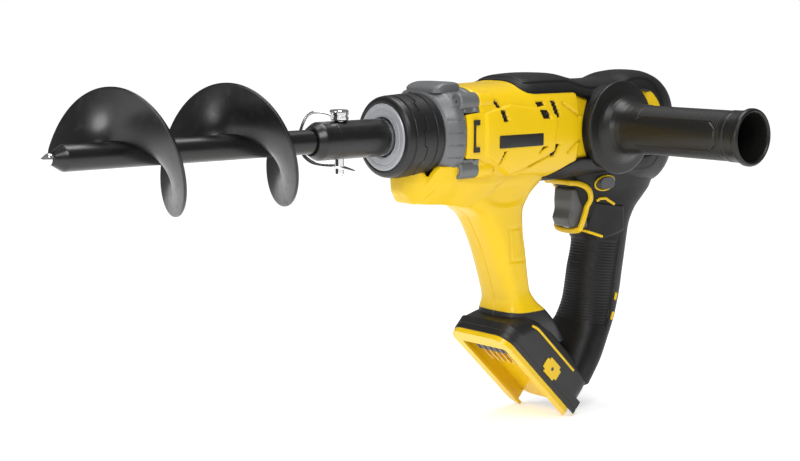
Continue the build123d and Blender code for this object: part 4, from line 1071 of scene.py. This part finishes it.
class AUGER_OT_case(bpy.types.Operator):
    """Make the cast gear case with its lobes and top hump, and the screw bosses behind it"""
    bl_idname = "auger.gear_case"
    bl_label = "Gear case"

    def execute(self, context):
        outside = dense([(32.0, 0.80), (32.4, 0.85), (33.4, 0.885), (36.0, 0.93), (39.0, 0.975), (40.4, 0.99),
                         (46.0, 1.0), (46.6, 0.985), (47.6, 0.985), (48.2, 1.0), (59.2, 1.0), (59.9, 0.985)], 0.6)
        inside = dense([(59.9, 0.82), (36.0, 0.82), (32.0, 0.66)], 2.0)
        rows = np.concatenate([outside, inside])
        angle = even(0.0, 2 * np.pi, 2.9, 34.0, 33.0, 361)[None, :-1]
        exponent = curve(rows[:, 0], [32.0, 46.0, 54.6, 56.6, 60.0], [2.1, 2.25, 2.3, 2.9, 3.0])[:, None]
        c, s = power(angle, exponent)
        points = np.stack(np.broadcast_arrays(rows[:, :1], 34.0 * rows[:, 1:] * c, 33.0 * rows[:, 1:] * s), -1)
        x, y, z = points[..., 0], points[..., 1], points[..., 2]
        outer = np.arange(len(rows))[:, None] < len(outside)
        flat = smooth(27.0 - np.abs(y), 3.0) * outer
        ribs = smooth(np.abs((z + 60.0) % 8.4 - 4.2) - 0.45, 0.7) * smooth(34.0 - x, 1.0) * smooth(x - 45.0, 1.0)
        pocket = smooth(np.abs(z) - 15.6, 0.5) * smooth(46.9 - x, 0.6)
        depth = flat * (0.7 * ribs + 3.0 * pocket)
        points[..., 1] -= np.sign(y) * depth
        ring_tube("gear_case_casting", points, "case", sharp=32.0, stands_for="gear_case")
        hump = []
        for z, inset in ((29.0, 0.0), (35.0, 0.0), (36.2, 0.5), (37.0, 1.4), (37.5, 2.8), (37.7, 4.6)):
            ring = rounded([(34.0 + inset, -17 + inset), (57.5 - inset, -17 + inset), (57.5 - inset, 17 - inset),
                            (34.0 + inset, 17 - inset)], 5.0 + 0.4 * inset, 120)
            lean = np.clip((ring[:, :1] - 34.0) / 12.0, 0, 1)
            hump.append(np.concatenate([ring, 29.0 + (z - 29.0) * (0.4 + 0.42 * lean * (2 - lean))], 1))
        tube("gear_case_hump", np.array(hump), "case", sharp=40.0)
        lobe = dense([(45.0, 3.9), (43.6, 3.9), (43.5, 5.2), (43.9, 6.0), (44.6, 6.4), (59.6, 6.4), (59.9, 6.2),
                      (59.9, 3.9)], 1.0)
        boss = dense([(60.0, 5.4), (60.2, 5.9), (60.8, 6.2), (72.6, 6.2), (73.6, 5.6), (74.0, 4.4)], 1.0)
        for index, (side, up) in enumerate(((-1, -1), (-1, 1), (1, -1), (1, 1))):
            centre = (0, 25.9 * side, 23.4 * up)
            ring_tube(f"case_lobe_{index + 1}", turned(lobe, 64, "X", (0, 25.5 * side, 23.0 * up)), "case")
            rings = turned(boss, 64, "X", centre)
            tube(f"screw_boss_{index + 1}", rings, "yellow")
        return {"FINISHED"}


class AUGER_OT_labels(bpy.types.Operator):
    """Make the plain label bars on both sides"""
    bl_idname = "auger.labels"
    bl_label = "Label bars"

    def execute(self, context):
        outline = rounded([(75.6, -9.4), (118.4, -9.4), (118.4, -0.6), (75.6, -0.6)], 0.6, 120)
        for side, name in ((-1, "left"), (1, "right")):
            low, high = sorted((side * 34.6, side * 36.4))
            slab(f"label_bar_{name}", outline, low, high, 0.3, "label", stands_for="label_plates")
        return {"FINISHED"}


class AUGER_OT_nose(bpy.types.Operator):
    """Make the two collars and the washer"""
    bl_idname = "auger.nose"
    bl_label = "Collars and washer"

    def execute(self, context):
        front = dense([(3.1, 21.6), (0.9, 22.95), (0.5, 23.5), (0.5, 24.4), (1.2, 26.3), (2.0, 27.0), (3.2, 27.5),
                       (5.8, 27.9), (6.3, 27.2), (7.5, 27.2), (8.0, 28.0), (12.0, 28.2), (16.4, 28.2), (16.8, 27.8),
                       (16.8, 25.5), (16.0, 21.6)], 0.8)
        rear = dense([(17.2, 21.6), (17.2, 25.5), (17.2, 27.9), (17.6, 28.4), (24.0, 28.8), (24.4, 28.2),
                      (25.4, 28.2), (25.8, 28.9), (30.4, 29.0), (31.4, 28.7), (31.9, 28.0), (31.9, 21.6)], 0.8)
        for name, profile in (("front", front), ("rear", rear)):
            rings = turned(profile, 400, "X", (0, 0, 0))
            angle = np.arctan2(rings[..., 2], rings[..., 1])
            reach = np.hypot(rings[..., 2], rings[..., 1])
            amount = smooth(24.0 - reach, 1.0) * (np.clip((rings[..., 0] - 10.0) / 6.0, 0, 1) if name == "front"
                                                  else np.clip((23.0 - rings[..., 0]) / 5.0, 0, 1))
            rings[..., 0] -= 2.6 * collar_tooth(angle) * amount
            ring_tube(f"collar_{name}_ring", rings, "collar", sharp=32.0, stands_for=f"collar_{name}")
        washer = dense([(3.0, 13.5), (0.8, 13.5), (0.15, 14.1), (0.0, 14.6), (0.0, 18.2), (0.25, 18.5), (0.25, 18.9),
                        (0.0, 19.2), (0.0, 21.6), (0.25, 22.3), (0.9, 22.75), (3.0, 22.8)], 0.5)
        ring_tube("washer_ring", turned(washer, 160, "X", (0, 0, 0)), "washer", sharp=32.0, stands_for="nose_washer")
        return {"FINISHED"}


class AUGER_OT_bit(bpy.types.Operator):
    """Make the drive socket, the shaft, its tip and the helical flight"""
    bl_idname = "auger.bit"
    bl_label = "Drive socket and bit"

    def execute(self, context):
        sizes = context.scene.auger_sizes
        shaft_radius, reach = sizes.shaft_radius / MM, sizes.flight_radius / MM
        socket = dense([(-14.0, 8.12), (-60.5, 8.12), (-60.5, 9.2), (-60.1, 9.7), (-55.6, 12.3), (-54.6, 12.65),
                        (-44.2, 12.65), (-43.9, 12.5), (-43.5, 12.5), (-43.2, 12.65), (-4.4, 12.65), (-3.4, 12.3),
                        (-2.2, 11.7), (-1.6, 11.5), (1.4, 11.45), (1.4, 8.12)], 1.5)
        ring_tube("socket_sleeve", turned(socket, 128, "X", (0, 0, 0)), "auger", "spindle", sharp=32.0,
                  stands_for="drive_socket")
        shaft = dense([(-247.6, 3.3), (-247.3, 3.8), (-241.0, 7.5), (-240.2, shaft_radius - 0.1),
                       (-239.2, shaft_radius), (-16.0, shaft_radius), (-14.2, 7.6)], 2.0)
        tube("shaft_bar", turned(shaft, 96, "X", (0, 0, 0)), "auger", "spindle", sharp=32.0, stands_for="auger_shaft")
        tip = dense([(-253.98, 0.35), (-253.6, 0.8), (-250.4, 2.9), (-249.8, 3.25), (-249.1, 3.4), (-248.2, 3.4),
                     (-247.8, 2.9), (-246.8, 2.9)], 0.4)
        tube("tip_point", turned(tip, 64, "X", (0, 0, 0)), "bright", "spindle", sharp=32.0, stands_for="auger_tip")
        self.flight(sizes, reach)
        return {"FINISHED"}

    def flight(self, sizes, reach):
        """Helical plate: its section, a rounded bar from shaft to edge, is carried round while it advances by
        the pitch in each turn. The ends draw in to a rounded outer corner."""
        turns = np.linspace(0, 2, 420)
        angle = np.radians(-8.4) + 2 * np.pi * turns
        thick = sizes.flight_thickness / MM
        section = rounded([(7.4, -thick / 2), (reach, -thick / 2), (reach, thick / 2), (7.4, thick / 2)], 1.0, 120)
        near = np.minimum(turns, 2 - turns) * 2 * np.pi * reach
        trim = 9.0 * (1 - np.sqrt(np.clip(1 - (1 - np.clip(near / 9.0, 0, 1)) ** 2, 0, 1)))
        share = (section[None, :, 0] - 7.4) / (reach - 7.4)
        radius = 7.4 + share * (reach - 7.4 - trim[:, None])
        flare = 1 - 0.3 * share
        x = -228.9 + sizes.flight_pitch / MM * turns[:, None] + section[None, :, 1] * flare
        rings = np.stack([x, radius * np.cos(angle)[:, None], radius * np.sin(angle)[:, None]], -1)
        tube("flight_plate", rings, "auger", "spindle", sharp=45.0, stands_for="auger_flight")


class AUGER_OT_pin(bpy.types.Operator):
    """Make the locking pin"""
    bl_idname = "auger.pin"
    bl_label = "Locking pin"

    def execute(self, context):
        centre = ((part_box("lock_pin")[0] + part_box("lock_pin")[1]) / 2)[0] / MM
        pin = dense([(-24.0, 1.6), (-23.6, 2.3), (-22.6, 3.0), (-22.0, 3.1), (11.6, 3.1), (12.6, 3.1), (12.9, 4.0),
                     (13.0, 5.6), (13.4, 6.1), (13.9, 6.3), (15.2, 6.3), (15.5, 5.7), (16.3, 5.7), (16.6, 6.3),
                     (19.0, 6.3), (19.7, 6.0), (20.0, 5.2)], 1.0)
        tube("lock_pin_bar", turned(pin, 64, "Z", (centre, 0, 0)), "bright", "spindle", sharp=32.0,
             stands_for="lock_pin")
        return {"FINISHED"}


class AUGER_OT_handle(bpy.types.Operator):
    """Make the side handle"""
    bl_idname = "auger.side_handle"
    bl_label = "Side handle"

    def execute(self, context):
        skin = dense([(39.65, 31.0), (39.7, 33.0), (40.2, 33.7), (41.0, 34.0), (42.2, 34.0), (42.8, 33.6),
                      (43.3, 32.6), (43.9, 29.4), (44.5, 26.4), (45.4, 24.4), (47.0, 22.6), (49.4, 21.0),
                      (52.6, 19.6), (57.0, 18.6), (62.0, 18.1), (67.6, 17.9), (70.0, 17.8), (146.4, 17.8),
                      (147.0, 17.4), (148.4, 17.4), (149.0, 17.9), (154.4, 18.0), (155.2, 18.3), (155.9, 19.2),
                      (156.8, 19.75), (158.4, 19.8), (159.6, 19.5), (160.3, 18.7), (160.4, 17.9), (160.0, 17.3)],
            0.6)
        hollow = dense([(160.0, 17.3), (159.0, 16.8), (156.0, 16.2), (150.0, 15.4), (78.2, 14.0), (78.2, 4.8),
                        (72.0, 4.8), (72.0, 12.0), (45.8, 12.0), (45.8, 4.3), (39.65, 4.3)], 1.6)
        profile = np.concatenate([skin, hollow[1:]])
        rings = turned(profile, 240, "Y", (HANDLE_X, 0, 0))
        out = np.stack([rings[..., 0] - HANDLE_X, rings[..., 1] * 0, rings[..., 2]], -1)
        reach = np.maximum(np.linalg.norm(out, axis=2, keepdims=True), 1e-6)
        out = out / reach
        angle = np.arctan2(out[..., 2], -out[..., 0])
        level = rings[..., 1]
        outside = smooth(17.2 - reach[..., 0], 0.3) * smooth(reach[..., 0] - 18.0, 0.3)
        around = np.abs(angle) * 17.8
        panel = polygon(level, around, [(64, -30), (140, -30), (140, 5.4), (134, 10.4), (72, 10.4), (64, 5.4)])
        body = smooth(np.abs(level - 106.5) - 36.6, 1.2)
        knurl = body * (1 - smooth(panel - 1.0, 1.0)) * outside
        groove = smooth(np.abs(panel - 0.4) - 0.35, 0.6) * outside * body
        height = -0.35 * knurl - 0.75 * groove
        rings = rings + out * height[..., None]
        rings[..., 1] *= -1
        ring_tube("side_handle_moulding", rings, "handle", marks=knurl, sharp=35.0, stands_for="side_handle")
        return {"FINISHED"}


class AUGER_OT_controls(bpy.types.Operator):
    """Make the trigger"""
    bl_idname = "auger.controls"
    bl_label = "Trigger"

    def execute(self, context):
        outline = rounded([(201.8, -46.4), (177.4, -46.4), (176.6, -56.0), (177.2, -63.0), (174.6, -69.4),
                           (177.8, -75.4), (187.0, -77.4), (201.8, -77.4)], (1.0, 2.4, 7.0, 9.0, 3.2, 3.0, 3.0, 1.0),
                           200)
        slab("trigger_moulding", outline[::-1], -9.6, 9.6, 2.6, "control", "trigger", stands_for="trigger")
        return {"FINISHED"}


class AUGER_OT_stage(bpy.types.Operator):
    """Make the pale floor, the soft light and the camera"""
    bl_idname = "auger.stage"
    bl_label = "Stage"

    def execute(self, context):
        low = CAD_BOX[0][2]
        mesh = bpy.data.meshes.new("floor")
        mesh.from_pydata([(-6, -6, low - 0.0005), (6, -6, low - 0.0005), (6, 6, low - 0.0005), (-6, 6, low - 0.0005)],
                         [], [(0, 1, 2, 3)])
        floor = bpy.data.objects.new("floor", mesh)
        context.scene.collection.objects.link(floor)
        pale = Finish("floor_paint", (0.93, 0.93, 0.93), 0.7, Emission_Strength=1.0)
        distance = pale.node("ShaderNodeVectorMath", {"operation": "LENGTH"}, {0: pale.place()}, output="Value")
        # Painted light: the floor glows, less near the middle and more further out, so the far floor stays pale where
        # the lamps fall off.
        pale.put("Emission Color", pale.mix(distance.above(1.5, 2.0), (0.52, 0.52, 0.52, 1.0), (0.84, 0.84, 0.84, 1.0)))
        pale.put("Base Color", pale.mix(pale.noise(3.0, 2.0), pale.tint(0.985), pale.colour))
        mesh.materials.append(pale.material)
        context.scene.view_settings.view_transform = "Standard"
        world = bpy.data.worlds.new("studio")
        context.scene.world = world
        world.use_nodes = True
        world.node_tree.nodes["Background"].inputs[0].default_value = (1.0, 1.0, 1.0, 1.0)
        nodes, links = world.node_tree.nodes, world.node_tree.links
        path = nodes.new("ShaderNodeLightPath")
        strength = nodes.new("ShaderNodeMapRange")
        strength.inputs["To Min"].default_value, strength.inputs["To Max"].default_value = 0.22, 1.0
        links.new(path.outputs["Is Camera Ray"], strength.inputs["Value"])
        links.new(strength.outputs[0], nodes["Background"].inputs[1])
        for name, place, size, power_w in (("key", (-0.55, -0.95, 1.05), 0.8, 13.0),
                                           ("top", (0.25, 0.15, 1.3), 1.0, 13.0),
                                           ("front", (-1.35, -0.1, 0.3), 0.5, 6.0)):
            light = bpy.data.lights.new(name, "AREA")
            light.shape, light.size, light.energy = "DISK", size, power_w
            lamp = bpy.data.objects.new(name, light)
            lamp.location = place
            lamp.rotation_euler = (Vector((0.02, 0.0, -0.03)) - Vector(place)).to_track_quat("-Z", "Y").to_euler()
            context.scene.collection.objects.link(lamp)
        view = bpy.data.cameras.new("camera")
        view.lens, view.sensor_width, view.clip_start = CAMERA_LENS, 36.0, 0.01
        camera = bpy.data.objects.new("camera", view)
        azimuth, elevation, roll = np.radians(CAMERA_TURN)
        back = Vector((-np.sin(-azimuth) * np.cos(elevation), -np.cos(azimuth) * np.cos(elevation), np.sin(elevation)))
        turn = back.to_track_quat("Z", "Y").to_matrix().to_4x4() @ Matrix.Rotation(roll, 4, "Z")
        camera.matrix_world = Matrix.Translation(CAMERA_PLACE) @ turn
        context.scene.collection.objects.link(camera)
        context.scene.camera = camera
        return {"FINISHED"}


OPERATORS = (AUGER_OT_finishes, AUGER_OT_barrel, AUGER_OT_column, AUGER_OT_covers, AUGER_OT_grip, AUGER_OT_foot,
             AUGER_OT_case, AUGER_OT_labels, AUGER_OT_nose, AUGER_OT_bit, AUGER_OT_pin, AUGER_OT_handle,
             AUGER_OT_controls, AUGER_OT_stage)


class AUGER_PT_panel(bpy.types.Panel):
    """Sidebar list of the auger's pieces and settings"""
    bl_label = "Soil auger"
    bl_space_type = "VIEW_3D"
    bl_region_type = "UI"
    bl_category = "Auger"

    def draw(self, context):
        for group in (context.scene.auger_sizes, context.scene.auger_colours):
            for name in group.__annotations__:
                self.layout.prop(group, name)
        for operator in OPERATORS:
            self.layout.operator(operator.bl_idname)


CLASSES = (AugerColours, AugerSizes) + OPERATORS + (AUGER_PT_panel,)


def register():
    for made in CLASSES:
        bpy.utils.register_class(made)
    bpy.types.Scene.auger_colours = bpy.props.PointerProperty(type=AugerColours)
    bpy.types.Scene.auger_sizes = bpy.props.PointerProperty(type=AugerSizes)


def unregister():
    del bpy.types.Scene.auger_sizes
    del bpy.types.Scene.auger_colours
    for made in reversed(CLASSES):
        bpy.utils.unregister_class(made)


def main():
    """Makes everything in order."""
    register()
    bpy.ops.auger.finishes()
    bpy.ops.auger.barrel()
    bpy.ops.auger.column()
    bpy.ops.auger.covers()
    bpy.ops.auger.grip()
    bpy.ops.auger.foot()
    bpy.ops.auger.gear_case()
    bpy.ops.auger.labels()
    bpy.ops.auger.nose()
    bpy.ops.auger.bit()
    bpy.ops.auger.pin()
    bpy.ops.auger.side_handle()
    bpy.ops.auger.controls()
    bpy.ops.auger.stage()
    bpy.context.view_layer.update()


if __name__ == "__main__":
    main()
